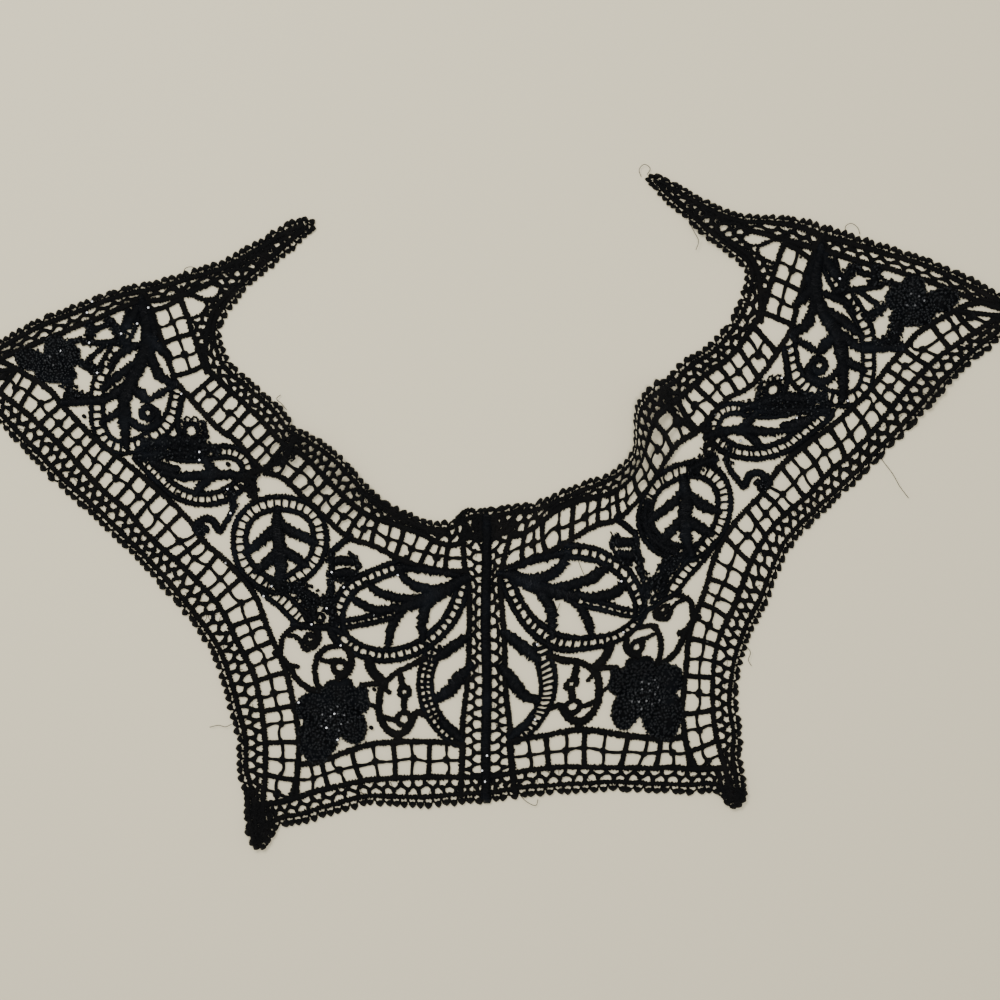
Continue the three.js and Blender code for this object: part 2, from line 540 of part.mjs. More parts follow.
// Every piece of one half in the order in which it is fitted: a later piece is cut clear of earlier ones.
const PIECES = [
  ['placket_ladder', placketLadder, CORD_BLACK],
  ['outer_edging', (side, grow) => strip(side, OUTER_EDGE, OUTER_CORD, grow, 0, CORD_HALF), CORD_BLACK],
  ['hem_edging', (side, grow) => strip(side, HEM_EDGE, HEM_CORD, grow, 0, CORD_HALF), CORD_BLACK],
  ['neck_edging', (side, grow) => strip(side, [...STRAP_CORD, ...NECK_CORD], NECK_EDGE, grow, CORD_HALF, 0),
    CORD_BLACK],
  ['shoulder_edging', (side, grow) => strip(side, SHOULDER_CORD, SHOULDER_EDGE, grow, CORD_HALF, 0),
    CORD_BLACK],
  ['outer_mesh_band', (side, grow) => netBand(side, OUTER_CORD, OUTER_FIELD, grow, 0.1, 0.99), CORD_BLACK],
  ['hem_mesh_band', (side, grow) => netBand(side, HEM_CORD, HEM_FIELD, grow, 0.1, 0.95), CORD_BLACK],
  ['neck_mesh_band', (side, grow) => netBand(side, NECK_FIELD, NECK_CORD, grow, 0.06, 0.96), CORD_BLACK],
  ['strap_mesh_band', (side, grow) => netBand(side, STRAP_INNER, STRAP_OUTER, grow, 0.2, 0.9), CORD_BLACK],
  ['strap_web', strapWeb, CORD_BLACK],
  ['palmette', (side, grow) => motif(side, PALMETTE, grow), SATIN_BLACK],
  ['crescent', (side, grow) => motif(side, CRESCENT, grow), SATIN_BLACK],
  ['round_leaf', (side, grow) => motif(side, ROUND_LEAF, grow), SATIN_BLACK],
  ['oval_leaf', (side, grow) => motif(side, OVAL_LEAF, grow), SATIN_BLACK],
  ['wing_leaf', (side, grow) => motif(side, WING_LEAF, grow), SATIN_BLACK],
  ['front_flower', (side, grow) => flower(side, FRONT_FLOWER, grow), BEADED_BLACK],
  ['wing_flower', (side, grow) => flower(side, WING_FLOWER, grow), BEADED_BLACK],
  ['flower_scrolls', (side, grow) => motif(side, FLOWER_SCROLLS, grow), CORD_BLACK],
  ['hem_scroll', (side, grow) => motif(side, HEM_SCROLL, grow), CORD_BLACK],
  ['ruched_curl', (side, grow) => motif(side, RUCHED_CURL, grow), BEADED_BLACK],
  ['ring_curl', (side, grow) => motif(side, RING_CURL, grow), BEADED_BLACK],
  ['small_curl', (side, grow) => motif(side, SMALL_CURL, grow), BEADED_BLACK],
  ['wing_lobe', (side, grow) => motif(side, WING_LOBE, grow), SATIN_BLACK],
  ['wing_sprigs', (side, grow) => motif(side, WING_SPRIGS, grow), BEADED_BLACK],
];

// The largest connected body of a cut piece.
function largestBody(solid) {
  const bodies = solid.decompose();
  return bodies.reduce((best, body) => (body.volume() > best.volume() ? body : best));
}

function meshOf(name, solid, look) {
  const raised = solid.warp((vertex) => {
    vertex[2] += lift(vertex[0], vertex[1]);
  });
  const { vertProperties, triVerts } = raised.getMesh();
  const geometry = new THREE.BufferGeometry();
  geometry.setAttribute('position', new THREE.BufferAttribute(vertProperties, 3));
  geometry.setIndex(new THREE.BufferAttribute(triVerts, 1));
  const mesh = new THREE.Mesh(geometry, new THREE.MeshStandardMaterial(look));
  mesh.name = name;
  return mesh;
}

const group = new THREE.Group();
group.name = 'beaded_lace_collar';
group.add(meshOf('placket_ridge', ridge(0), SATIN_BLACK));
for (const side of ['left', 'right']) {
  let taken = ridge(GAP);
  for (const [name, build, look] of PIECES) {
    const fitted = largestBody(build(side, 0).subtract(taken)).simplify(0.1);
    group.add(meshOf(`${name}_${side}`, fitted, look));
    taken = taken.add(build(side, GAP));
  }
}

export default group;
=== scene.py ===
"""Looks of a beaded collar of black corded lace, laid out flat on a pale floor.

Sizes are in millimetres in the tables and in metres in Blender. The left half is drawn once; the right
half is its mirror image, laid down a little differently.
"""

import bpy
import numpy as np
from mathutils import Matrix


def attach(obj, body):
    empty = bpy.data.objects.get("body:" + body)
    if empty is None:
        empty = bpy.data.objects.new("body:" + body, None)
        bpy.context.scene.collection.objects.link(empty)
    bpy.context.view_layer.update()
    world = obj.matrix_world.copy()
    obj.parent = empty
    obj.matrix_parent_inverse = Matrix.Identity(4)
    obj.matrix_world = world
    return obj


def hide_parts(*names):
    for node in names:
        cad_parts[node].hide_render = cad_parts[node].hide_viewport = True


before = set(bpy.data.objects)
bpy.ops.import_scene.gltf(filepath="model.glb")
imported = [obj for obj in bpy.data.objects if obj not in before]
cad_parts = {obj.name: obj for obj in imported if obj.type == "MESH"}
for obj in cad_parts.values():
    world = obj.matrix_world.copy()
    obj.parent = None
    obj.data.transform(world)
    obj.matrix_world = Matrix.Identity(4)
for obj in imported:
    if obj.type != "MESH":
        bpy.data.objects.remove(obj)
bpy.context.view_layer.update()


# How the lace lies. It is embroidered thread only, limp and about 2 mm thick, put down flat with a few
# raised folds. All the pieces are drawn flat for the left half and are laid in place by lay().
SIDES = ("left", "right")
# From the drawing's zero, at the top of the centre front, to the frame's.
FRAME_SHIFT = np.array([-3.2, 1.4])
# A little slack at the landmarks makes the way between them smoother.
LANDMARK_SLACK = 4
# Where points of the mirrored left half lie in the right half: left x, left y, right x, right y.
LANDMARKS = np.array([
    (-68.5, 113, 63.5, 132.5), (-79, 115, 76, 130), (-84, 97, 76.5, 117), (-93.5, 106.5, 89, 123),
    (-119.5, 95.5, 116.5, 117.5), (-132.5, 91.5, 130, 115.5),
    (-147, 88.5, 144, 111), (-179, 76.5, 177, 100), (-215.5, 55, 222, 79), (-195, 34.5, 194.5, 59.5),
    (-172.5, 11, 170.5, 34.5), (-155, -5, 147.5, 11), (-126.5, -34.5, 119.5, -17.5),
    (-112.5, -52, 110, -40), (-103, -79, 101, -64), (-99.5, -93, 99.5, -78.5), (-93, -136, 102, -119),
    (-75.5, -102, 79, -91), (-53, -121, 57.5, -114), (-23, -119.5, 25, -114.5), (-51, -95, 53, -90),
    (-23, -93.5, 23.5, -91), (-77.5, -78, 79.5, -66), (-87.5, -48.5, 87, -33.5),
    (-99, -27, 96, -10.5), (-118.5, -5.5, 114.5, 13), (-140, 15, 137.5, 33), (-164, 34, 160.5, 55.5),
    (-179.5, 50.5, 177, 73), (-124.5, 50.5, 121.5, 70.5), (-110, 36, 107, 51.5), (-95, 21, 91, 39),
    (-82.5, 13, 77, 27), (-55, -12, 52, -4.5), (-33.5, -21, 30, -15), (-9.5, -25.5, 7, -24),
    (-106.5, 72, 103, 94.5), (-102, 58.5, 99, 80), (-95.5, 53, 93.5, 71.5),
    (-93.5, 89, 86.5, 107.5), (-89, 47, 87, 65), (-74, 31, 69, 50.5),
    (-63, 25.5, 59, 42.5), (-50, 13, 57.5, 23), (-35, 0.5, 40.5, 12), (-19.5, -5, 24, 5),
    (-3, 0, 4.5, 0), (0, 0, 0, 0), (0, -57, 0, -57), (0, -118.5, 0, -118.5), (-9.5, -31, 7.5, -28),
    (-59.5, -43, 61, -39), (-45, -27, 44.5, -19), (-38.5, -59, 40.5, -54), (-82.5, -17.5, 79, -5),
    (-61, -84, 63.5, -74), (-58.5, -63.5, 59.5, -55.5), (-71, -53, 70.5, -41), (-33, -85, 34, -80),
    (-11.5, -92.5, 11, -91.5), (-23.5, -69, 23, -70), (-115, 13, 107.5, 31), (-137.5, 82.5, 133, 103),
    (-144, 25, 142, 44), (-175, 59, 173, 83),
])
# Raised places: x, y, radius at half of the height, height.
RIPPLES = np.array([
    (-76, 24, 13, 2.5), (-56, 13, 14, 3), (61, 38, 12, 8), (62, 21, 11, 4), (86, 108, 10, 2),
    (-92, -134, 8, 2.5), (101, -117, 8, 2), (180, 44, 11, 2),
])
# Faint unevenness over a least height: height of a sine wave, x and y along which it turns a radian.
UNEVEN_LEAST = 0.25
UNEVEN = [(0.15, 9, 14), (0.1, -17, 7)]


def plate_bend(distance):
    """Radial term of a thin plate spline: the distance squared times its logarithm, nought at nought."""
    return np.where(distance > 0, distance ** 2 * np.log(np.maximum(distance, 1e-9)), 0)


def right_half_weights():
    """Solves the thin plate spline that takes the mirrored left landmarks to the right ones."""
    source = LANDMARKS[:, :2] * (-1, 1)
    count = len(source)
    gaps = np.linalg.norm(source[:, None] - source[None], axis=2)
    flat = np.column_stack([np.ones(count), source])
    system = np.zeros((count + 3, count + 3))
    system[:count, :count] = plate_bend(gaps) + LANDMARK_SLACK * np.eye(count)
    system[:count, count:] = flat
    system[count:, :count] = flat.T
    goal = np.vstack([LANDMARKS[:, 2:], np.zeros((3, 2))])
    return source, np.linalg.solve(system, goal)


landmark_source, landmark_weights = right_half_weights()


def lay(side, points):
    """Drawn points (n, 3) in mm to laid points in metres. The right half goes through the spline; both
    are then lifted by a smooth hump over each ripple and a faint unevenness of long sine waves, and
    nothing goes below the floor."""
    flat = points[:, :2]
    if side == "right":
        mirrored = flat * (-1, 1)
        gaps = np.linalg.norm(mirrored[:, None] - landmark_source[None], axis=2)
        terms = np.column_stack([plate_bend(gaps), np.ones(len(flat)), mirrored])
        flat = terms @ landmark_weights
    x, y = flat.T
    apart = np.hypot(x[:, None] - RIPPLES[:, 0], y[:, None] - RIPPLES[:, 1])
    share = np.clip(1 - apart / (2 * RIPPLES[:, 2]), 0, 1)
    hump = (RIPPLES[:, 3] * share ** 2 * (3 - 2 * share)).sum(axis=1)
    waves = sum(rise * np.sin(x / across + y / along) for rise, across, along in UNEVEN)
    height = np.maximum(points[:, 2] + hump + UNEVEN_LEAST + waves, 0)
    laid = np.column_stack([flat + FRAME_SHIFT, height])
    return laid / 1000


# Placket ridge. The two centre fronts are whipped together into one thick cord of black satin stitch
# down the middle, the stoutest cord of the collar, with a few jet seed beads sewn along it.
# Half widths in the tables are of a cord's core, and the thread wrapped round it adds WRAP.
STITCH = 1.1
WRAP = 0.17
TOOTH = 0.42
# Real threads lie about 0.2 mm apart. Their ridges are drawn at this spacing, because finer ones don't
# show in the picture.
THREAD = 0.45
SPAN_SAMPLES = 24
RIDGE = [(-0.2, -3), (-0.1, -20), (-0.6, -45), (0, -70), (-0.5, -95), (-0.3, -117)]
RIDGE_HALF = 1.9
RIDGE_HIGH = 1.25


def smooth_line(table, step, closed=False):
    """The centripetal curve through the table's points, sampled at even steps of its length."""
    p = np.asarray(table, float)
    if closed:
        p = np.vstack([p[-1:], p, p[:2]])
    else:
        p = np.vstack([2 * p[:1] - p[1:2], p, 2 * p[-1:] - p[-2:-1]])
    knot = np.linalg.norm(np.diff(p, axis=0), axis=1) ** 0.5
    before, here, after = knot[:-2, None], knot[1:-1, None], knot[2:, None]
    a, b, c, d = p[:-3], p[1:-2], p[2:-1], p[3:]
    leave = ((b - a) / before - (c - a) / (before + here) + (c - b) / here) * here
    arrive = ((c - b) / here - (d - b) / (here + after) + (d - c) / after) * here
    t = np.linspace(0, 1, SPAN_SAMPLES, endpoint=False)[:, None, None]
    dense = (2 * t ** 3 - 3 * t ** 2 + 1) * b + (t ** 3 - 2 * t ** 2 + t) * leave
    dense = dense + (3 * t ** 2 - 2 * t ** 3) * c + (t ** 3 - t ** 2) * arrive
    dense = np.vstack([dense.transpose(1, 0, 2).reshape(-1, 2), c[-1:]])
    length = np.concatenate([[0], np.cumsum(np.linalg.norm(np.diff(dense, axis=0), axis=1))])
    at = np.linspace(0, length[-1], max(3, round(length[-1] / step) + 1))
    return np.stack([np.interp(at, length, dense[:, i]) for i in (0, 1)], axis=1)


def stitches(table, closed=False):
    """The curve through the table's points, sampled at half a stitch."""
    return smooth_line(table, STITCH / 2, closed)


def left_of(line):
    """Unit vectors to the left of the way a line (..., k, 2) runs."""
    along = np.gradient(line, axis=-2)
    along = along / np.maximum(np.linalg.norm(along, axis=-1, keepdims=True), 1e-9)
    return np.stack([-along[..., 1], along[..., 0]], axis=-1)


def loft_faces(rings, sides):
    """Faces over rings of points, numbered ring by ring, that are shut by a pole at each end, numbered
    after them: the quads, and the triangles round the first pole and then round the last."""
    ring, turn = np.meshgrid(np.arange(rings - 1), np.arange(sides), indexing="ij")
    here = ring * sides + turn
    beside = ring * sides + (turn + 1) % sides
    quads = np.stack([here, beside, beside + sides, here + sides], axis=-1).reshape(-1, 4)
    spot = np.arange(sides)
    after = (spot + 1) % sides
    last = (rings - 1) * sides
    shut = np.vstack([
        np.column_stack([np.full(sides, rings * sides), after, spot]),
        np.column_stack([np.full(sides, rings * sides + 1), last + spot, last + after]),
    ])
    return quads, shut


def tube(centre, wide, high, sides=8, tip=0.6):
    """Closed tubes along many lines at once. centre is (n, k, 3); each ring is an ellipse of half
    widths wide and high round the line, and a pole beyond each end, tip widths away, shuts it."""
    n, k = centre.shape[:2]
    wide = np.broadcast_to(wide, (n, k))
    high = np.broadcast_to(high, (n, k))
    along = np.gradient(centre, axis=1)
    step = np.linalg.norm(along, axis=2, keepdims=True)
    along = along / np.maximum(step, 1e-9)
    side = np.stack([-along[..., 1], along[..., 0], np.zeros((n, k))], axis=2)
    side = side / np.maximum(np.linalg.norm(side, axis=2, keepdims=True), 1e-9)
    up = np.cross(along, side)
    angle = np.arange(sides) * 2 * np.pi / sides
    out = side[:, :, None] * (wide[..., None] * np.cos(angle))[..., None]
    out = out + up[:, :, None] * (high[..., None] * np.sin(angle))[..., None]
    rings = centre[:, :, None] + out
    first = centre[:, 0] - along[:, 0] * wide[:, :1] * tip
    last = centre[:, -1] + along[:, -1] * wide[:, -1:] * tip
    points = np.concatenate([rings.reshape(n, -1, 3), first[:, None], last[:, None]], axis=1)
    quads, shut = loft_faces(k, sides)
    ring, turn = np.divmod(quads[:, 0], sides)
    base = np.arange(n)[:, None, None] * (k * sides + 2)
    length = np.cumsum(step[..., 0], axis=1)
    here, there = length[:, ring], length[:, ring + 1]
    low, top = turn / sides, (turn + 1) / sides
    quad_uv = np.stack([
        np.stack([here, here, there, there], axis=-1),
        np.broadcast_to(np.stack([low, top, top, low], axis=-1), here.shape + (4,)),
    ], axis=-1)
    ends = np.stack([length[:, 0], length[:, -1]], axis=1)
    shut_u = np.repeat(ends, sides, axis=1)[..., None] * np.ones(3)
    spot = np.arange(sides)
    shut_v = np.tile(np.column_stack([spot + 0.5, spot + 1, spot]) / sides, (2, 1))
    shut_uv = np.stack([shut_u, np.broadcast_to(shut_v, shut_u.shape)], axis=-1)
    return {
        "points": points.reshape(-1, 3),
        "quads": (quads + base).reshape(-1, 4),
        "quad_uv": quad_uv.reshape(-1, 2),
        "triangles": (shut + base).reshape(-1, 3),
        "triangle_uv": shut_uv.reshape(-1, 2),
    }


def satin(line, half, high, rng, level=1.0, teeth=TOOTH, sides=8):
    """A cord or lobe of satin stitch along a line sampled at half a stitch: the width is full where a
    stitch crosses and less by teeth between, in or out of step on the two sides, and so is the height,
    a little. Stitches differ at random by two fifths of teeth."""
    count = len(line)
    beat = np.where(np.arange(count) % 2 == 0, 0.5, -0.5)
    left = half + WRAP + teeth * (beat + rng.normal(0, 0.4, count))
    right = half + WRAP + teeth * (rng.choice([-1, 1]) * beat + rng.normal(0, 0.4, count))
    middle = line + left_of(line) * ((left - right) / 2)[:, None]
    height = high * (1 + 0.22 * beat + rng.normal(0, 0.05, count))
    centre = np.column_stack([middle, np.full(count, level)])
    return tube(centre[None], ((left + right) / 2)[None], height[None], sides)


def linear(code):
    """An sRGB hex colour as the linear RGBA that a shader takes."""
    srgb = np.array([int(code[i:i + 2], 16) for i in (1, 3, 5)]) / 255
    value = np.where(srgb <= 0.04045, srgb / 12.92, ((srgb + 0.055) / 1.055) ** 2.4)
    return (*value.tolist(), 1.0)


def add(tree, kind, settings=(), links=()):
    """Adds a shader node. A setting is (name, value), for a property or an input socket; a link is
    (input socket, node, output socket)."""
    made = tree.nodes.new(kind)
    for name, value in settings:
        if isinstance(name, str) and hasattr(made, name):
            setattr(made, name, value)
        else:
            made.inputs[name].default_value = value
    for socket, source, output in links:
        tree.links.new(source.outputs[output], made.inputs[socket])
    return made


def blank_material(name):
    """A new material with an empty node tree."""
    made = bpy.data.materials.new(name)
    made.use_nodes = True
    made.node_tree.nodes.clear()
    return made


def thread_material(name, dark, worn, roughness):
    """Black thread laid side by side round a cord: a fine ridge for each thread, a sine wave along the
    cord that is slanted round it, over a soft grain about 1 mm across, and a colour that wanders from
    the dye's black to the worn tone in patches about 11 mm wide."""
    made = blank_material(name)
    tree = made.node_tree
    place = add(tree, "ShaderNodeTexCoord")
    uv = add(tree, "ShaderNodeSeparateXYZ", (), [(0, place, "UV")])
    along = add(tree, "ShaderNodeMath", [("operation", "MULTIPLY"), (1, 2 * np.pi / THREAD)],
                [(0, uv, "X")])
    slant = add(tree, "ShaderNodeMath", [("operation", "MULTIPLY_ADD"), (1, 2 * np.pi)],
                [(0, uv, "Y"), (2, along, 0)])
    ridge = add(tree, "ShaderNodeMath", [("operation", "SINE")], [(0, slant, 0)])
    grain = add(tree, "ShaderNodeTexNoise", [("Scale", 900), ("Detail", 3)], [("Vector", place, "Object")])
    relief = add(tree, "ShaderNodeMath", [("operation", "MULTIPLY_ADD"), (1, 0.4)],
                 [(0, ridge, 0), (2, grain, 0)])
    bump = add(tree, "ShaderNodeBump", [("Strength", 1.0), ("Distance", 0.00025)],
               [("Height", relief, 0)])
    patch = add(tree, "ShaderNodeTexNoise", [("Scale", 90), ("Detail", 3)], [("Vector", place, "Object")])
    blend = add(tree, "ShaderNodeMapRange", [("From Min", 0.48), ("From Max", 0.74)],
                [("Value", patch, 0)])
    colour = add(tree, "ShaderNodeMix", [("data_type", "RGBA"), (6, linear(dark)), (7, linear(worn))],
                 [(0, blend, 0)])
    shader = add(tree, "ShaderNodeBsdfPrincipled",
                 [("Roughness", roughness), ("Specular IOR Level", 0.12), ("Sheen Weight", 0.02),
                  ("Sheen Roughness", 0.4)],
                 [("Base Color", colour, 2), ("Normal", bump, 0)])
    add(tree, "ShaderNodeOutputMaterial", (), [(0, shader, 0)])
    return made


def piece(name, side, parts, material, slot, *nodes, smooth=True):
    """Joins the parts into one mesh laid on its side of the collar, with the length and turn of each
    thread as UV, and makes it a piece that rides on the collar and stands for the CAD nodes."""
    starts = np.cumsum([0] + [len(part["points"]) for part in parts])
    points = lay(side, np.vstack([part["points"] for part in parts]))
    quads = np.vstack([part["quads"] + start for part, start in zip(parts, starts)])
    triangles = np.vstack([part["triangles"] + start for part, start in zip(parts, starts)])
    quad_uv = np.vstack([part["quad_uv"] for part in parts]).reshape(-1, 4, 2)
    triangle_uv = np.vstack([part["triangle_uv"] for part in parts]).reshape(-1, 3, 2)
    if side == "right":
        quads, triangles = quads[:, ::-1], triangles[:, ::-1]
        quad_uv, triangle_uv = quad_uv[:, ::-1], triangle_uv[:, ::-1]
    corners = np.concatenate([quads.ravel(), triangles.ravel()]).astype(np.int32)
    sizes = np.concatenate([np.full(len(quads), 4), np.full(len(triangles), 3)]).astype(np.int32)
    mesh = bpy.data.meshes.new(name)
    mesh.vertices.add(len(points))
    mesh.vertices.foreach_set("co", points.astype(np.float32).ravel())
    mesh.loops.add(len(corners))
    mesh.loops.foreach_set("vertex_index", corners)
    mesh.polygons.add(len(sizes))
    mesh.polygons.foreach_set("loop_start", (np.cumsum(sizes) - sizes).astype(np.int32))
    mesh.polygons.foreach_set("use_smooth", np.full(len(sizes), smooth))
    layer = mesh.uv_layers.new(name="thread")
    uv = np.vstack([quad_uv.reshape(-1, 2), triangle_uv.reshape(-1, 2)])
    layer.data.foreach_set("uv", uv.astype(np.float32).ravel())
    mesh.update()
    mesh.validate()
    mesh.materials.append(material)
    made = bpy.data.objects.new(name, mesh)
    bpy.context.scene.collection.objects.link(made)
    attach(made, "root")
    if nodes:
        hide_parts(*nodes)


# Black rayon in satin stitch: smooth filament thread with a low blue-black gloss across the stitches.
satin_rayon = thread_material("black satin stitch rayon", "#020305", "#0b0f14", roughness=0.4)
rng = np.random.default_rng(11)
ridge = satin(stitches(RIDGE), RIDGE_HALF, RIDGE_HIGH, rng, level=1.3, teeth=0.3, sides=12)
piece("placket_ridge_satin", "left", [ridge], satin_rayon, "satin_thread", "placket_ridge")


# Placket ladders. Beside the ridge two staggered columns of six-sided cells, in fine black cotton
# cord, fill the way to a corded edge; the net is pulled together at the neck.
PLACKET_EDGE = [
    (-9.6, -13), (-8.9, -23), (-7.3, -30), (-7, -38), (-7.2, -57), (-8, -71), (-9.6, -85), (-10, -101),
    (-10.4, -115.5),
]
# Top and bottom of the net, and the length of a cell.
PLACKET_NET = (-12.5, -107)
PLACKET_PITCH = 4.5
# Bunched threads where the two fronts meet at the neck: half width, points.
NECK_BUNCH = [
    (0.9, [(-9.8, -11.4), (-5, -11), (-1.5, -11.4)]),
    (0.6, [(-9.4, -3.4), (-7.2, -8), (-3.8, -13), (-2, -17)]),
    (0.6, [(-4, -3), (-6, -7.5), (-8.6, -11)]),
    (0.9, [(-2.2, -3), (-1.8, -7), (-1.4, -12)]),
    (0.6, [(-9.8, -6), (-8.8, -9), (-9.4, -12)]),
]
# A slack loop of cord that stands up beside the left front at the neck.
NECK_LOOP = [(-12, -5), (-10.4, -2.2), (-8, -0.8), (-5.6, -0.8), (-4.8, -2.6)]
NECK_LOOP_HALF = 0.6
CORD_HALF = 1.08
CORD_HIGH = 0.8
# A knot's rings: along its line, half width and height, as shares of its radius.
KNOT = np.array([(-0.6, 0.72, 0.6), (0, 1, 0.8), (0.6, 0.72, 0.6)])
# Gathered stitching: knots to a square millimetre, their radius, half width of the stray threads.
GATHER_KNOTS = 0.8
GATHER_KNOT = 0.75
GATHER_STRAY = 0.12
# Cells: how far their posts reach across as a share, and the width from which their thread is full.
POST_REACH = (0.38, 0.62)
FULL_CELL = 5
CELL_STRAY = 0.11


def threads(starts, ends, radius, rng, level=0.9, bow=0.22, points=6, wrap=WRAP, sides=6):
    """Fine threads from each start to each end (n, 2): straight lines bowed sideways by a random
    share of a sine wave, uneven, and thicker towards both ends, where they are stitched over."""
    t = np.linspace(0, 1, points)
    line = starts[:, None] + (ends - starts)[:, None] * t[:, None]
    bowed = (rng.normal(0, bow, len(starts))[:, None] * np.sin(np.pi * t))[..., None]
    line = line + left_of(line) * bowed
    rise = level + rng.normal(0, 0.08, (len(starts), 1)) + 0.1 * np.sin(np.pi * t)
    centre = np.concatenate([line, rise[..., None]], axis=2)
    uneven = 1 + rng.normal(0, 0.13, rise.shape)
    thick = radius + wrap
    wide = thick * uneven * (0.92 + 0.45 * (2 * t - 1) ** 2)
    return tube(centre, wide, thick * 0.9, sides)


def knots(places, radius, rng, level=1.0):
    """Small round knots: three rings, the middle one widest, on a short line in a random direction."""
    turn = rng.uniform(0, 2 * np.pi, len(places))
    way = np.stack([np.cos(turn), np.sin(turn), np.zeros(len(places))], axis=1)
    size = radius * rng.uniform(0.85, 1.15, len(places))
    middle = np.column_stack([places, np.broadcast_to(level, (len(places),))])
    along, wide, high = KNOT.T[:, None] * size[:, None]
    return tube(middle[:, None] + way[:, None] * along[..., None], wide, high, sides=7, tip=0.4)


def gathers(half, table, rng, level=1.1, most=1.0):
    """Gathered stitching: a cord, of half width most at the most, knots of random size strewn over the
    width of its line, higher towards the middle, and a short stray thread at each."""
    line = stitches(table)
    run = (len(line) - 1) * STITCH / 2
    count = round(run * 2 * half * GATHER_KNOTS) + 4
    pick = rng.integers(0, len(line), count)
    off = rng.uniform(-1, 1, count)
    places = line[pick] + left_of(line)[pick] * (off * half)[:, None] + rng.normal(0, 0.2, (count, 2))
    rise = level + 0.5 * (1 - off ** 2) + rng.normal(0, 0.12, count)
    stray = places + rng.normal(0, 0.7, (count, 2))
    core = min(0.66 * half, most)
    return [satin(line, core, min(level, 1.2 * core), rng, level), knots(places, GATHER_KNOT, rng, rise),
            threads(places, stray, GATHER_STRAY, rng, level + 0.55, bow=0.5, sides=4)]


def cells(near, far, rng, radius=0.6):
    """Two staggered rows of six-sided cells between lines near and far (m, 2), sampled at half a cell:
    posts from near stop at every other sample, posts from far at those between, joined by zigzags.
    The thread is finer where the lines come together, and a loose fibre strays from every knot."""
    jitter = rng.normal(0, 0.24, near.shape)
    odd = np.arange(len(near))[:, None] % 2 == 1
    node = near + (far - near) * np.where(odd, POST_REACH[1], POST_REACH[0]) + jitter
    root = np.where(odd, far, near)
    thick = radius * np.clip(np.linalg.norm(far - near, axis=1, keepdims=True) / FULL_CELL, 0.5, 1)
    stray = node + rng.normal(0, 1.5, node.shape)
    return [threads(root, node, thick, rng), threads(node[:-1], node[1:], thick[1:], rng),
            threads(node, stray, CELL_STRAY, rng, bow=0.4, wrap=0, sides=4)]


def samples(line, count):
    """Evenly spaced points of a line, count of them."""
    at = np.linspace(0, len(line) - 1, count)
    index = np.arange(len(line))
    return np.stack([np.interp(at, index, line[:, i]) for i in (0, 1)], axis=1)


# Mercerised cotton cord, wrapped with finer black thread: a matt dye black that goes brown where worn.
wrapped_cotton = thread_material("black wrapped cotton cord", "#030303", "#0e0c0a", roughness=0.65)
for seed, side in enumerate(SIDES):
    rng = np.random.default_rng(20 + seed)
    edge = stitches(PLACKET_EDGE)
    held = edge[(edge[:, 1] < PLACKET_NET[0]) & (edge[:, 1] > PLACKET_NET[1])]
    count = 2 * round((PLACKET_NET[0] - PLACKET_NET[1]) / PLACKET_PITCH) + 1
    far = samples(held, count)
    near = np.column_stack([np.full(count, -RIDGE_HALF), far[:, 1]])
    parts = [satin(edge, CORD_HALF, CORD_HIGH, rng)] + cells(near, far, rng)
    for half, table in NECK_BUNCH:
        parts += gathers(half, table, rng)
    if side == "left":
        parts.append(satin(stitches(NECK_LOOP), NECK_LOOP_HALF, NECK_LOOP_HALF, rng, level=1.6))
    piece(f"placket_ladder_{side}_net", side, parts, wrapped_cotton, "corded_thread",
          f"placket_ladder_{side}")


# Edgings. Every outer edge has two rows of small staggered cells between two cords, and picots
# outside them: little loops of cotton that each end in a pointed knot.
# Each outline runs at the tips of the picots, and each cord along the inner side of the cells: x, y.
OUTER_EDGE = [
    (-215.5, 55), (-205.5, 44), (-196, 33.5), (-183, 20), (-173.5, 10), (-156, -6), (-136, -26),
    (-127.5, -35.5), (-117.5, -48), (-110.5, -58.5), (-105.5, -73), (-102.5, -85), (-100.5, -93),
    (-100.5, -104), (-98, -113), (-96.5, -129), (-94, -135.5), (-90, -136.5),
]
OUTER_CORD = [
    (-205, 55), (-192, 44), (-183, 37), (-169, 23.5), (-154, 7.5), (-143.5, -1.5), (-135, -11.5),
    (-120, -25), (-107, -39.5), (-99, -55), (-93.5, -66), (-90.5, -78), (-89, -89.5), (-88.5, -102.5),
    (-89.5, -119), (-88.5, -132),
]
HEM_EDGE = [
    (-88, -134.5), (-85.5, -130), (-80.8, -128), (-73.6, -126.8), (-66, -124.4), (-59.6, -122.8),
    (-53, -120.8), (-46.8, -119.6), (-33, -120), (-22.8, -120), (-12.8, -119), (0, -118.4),
]
HEM_CORD = [
    (-90, -118), (-82.8, -117.6), (-75.6, -115.6), (-70, -113.6), (-62.8, -112), (-50.8, -109.2),
    (-42.8, -108.4), (-25, -107.6), (-10, -107.6), (-2, -107.6),
]
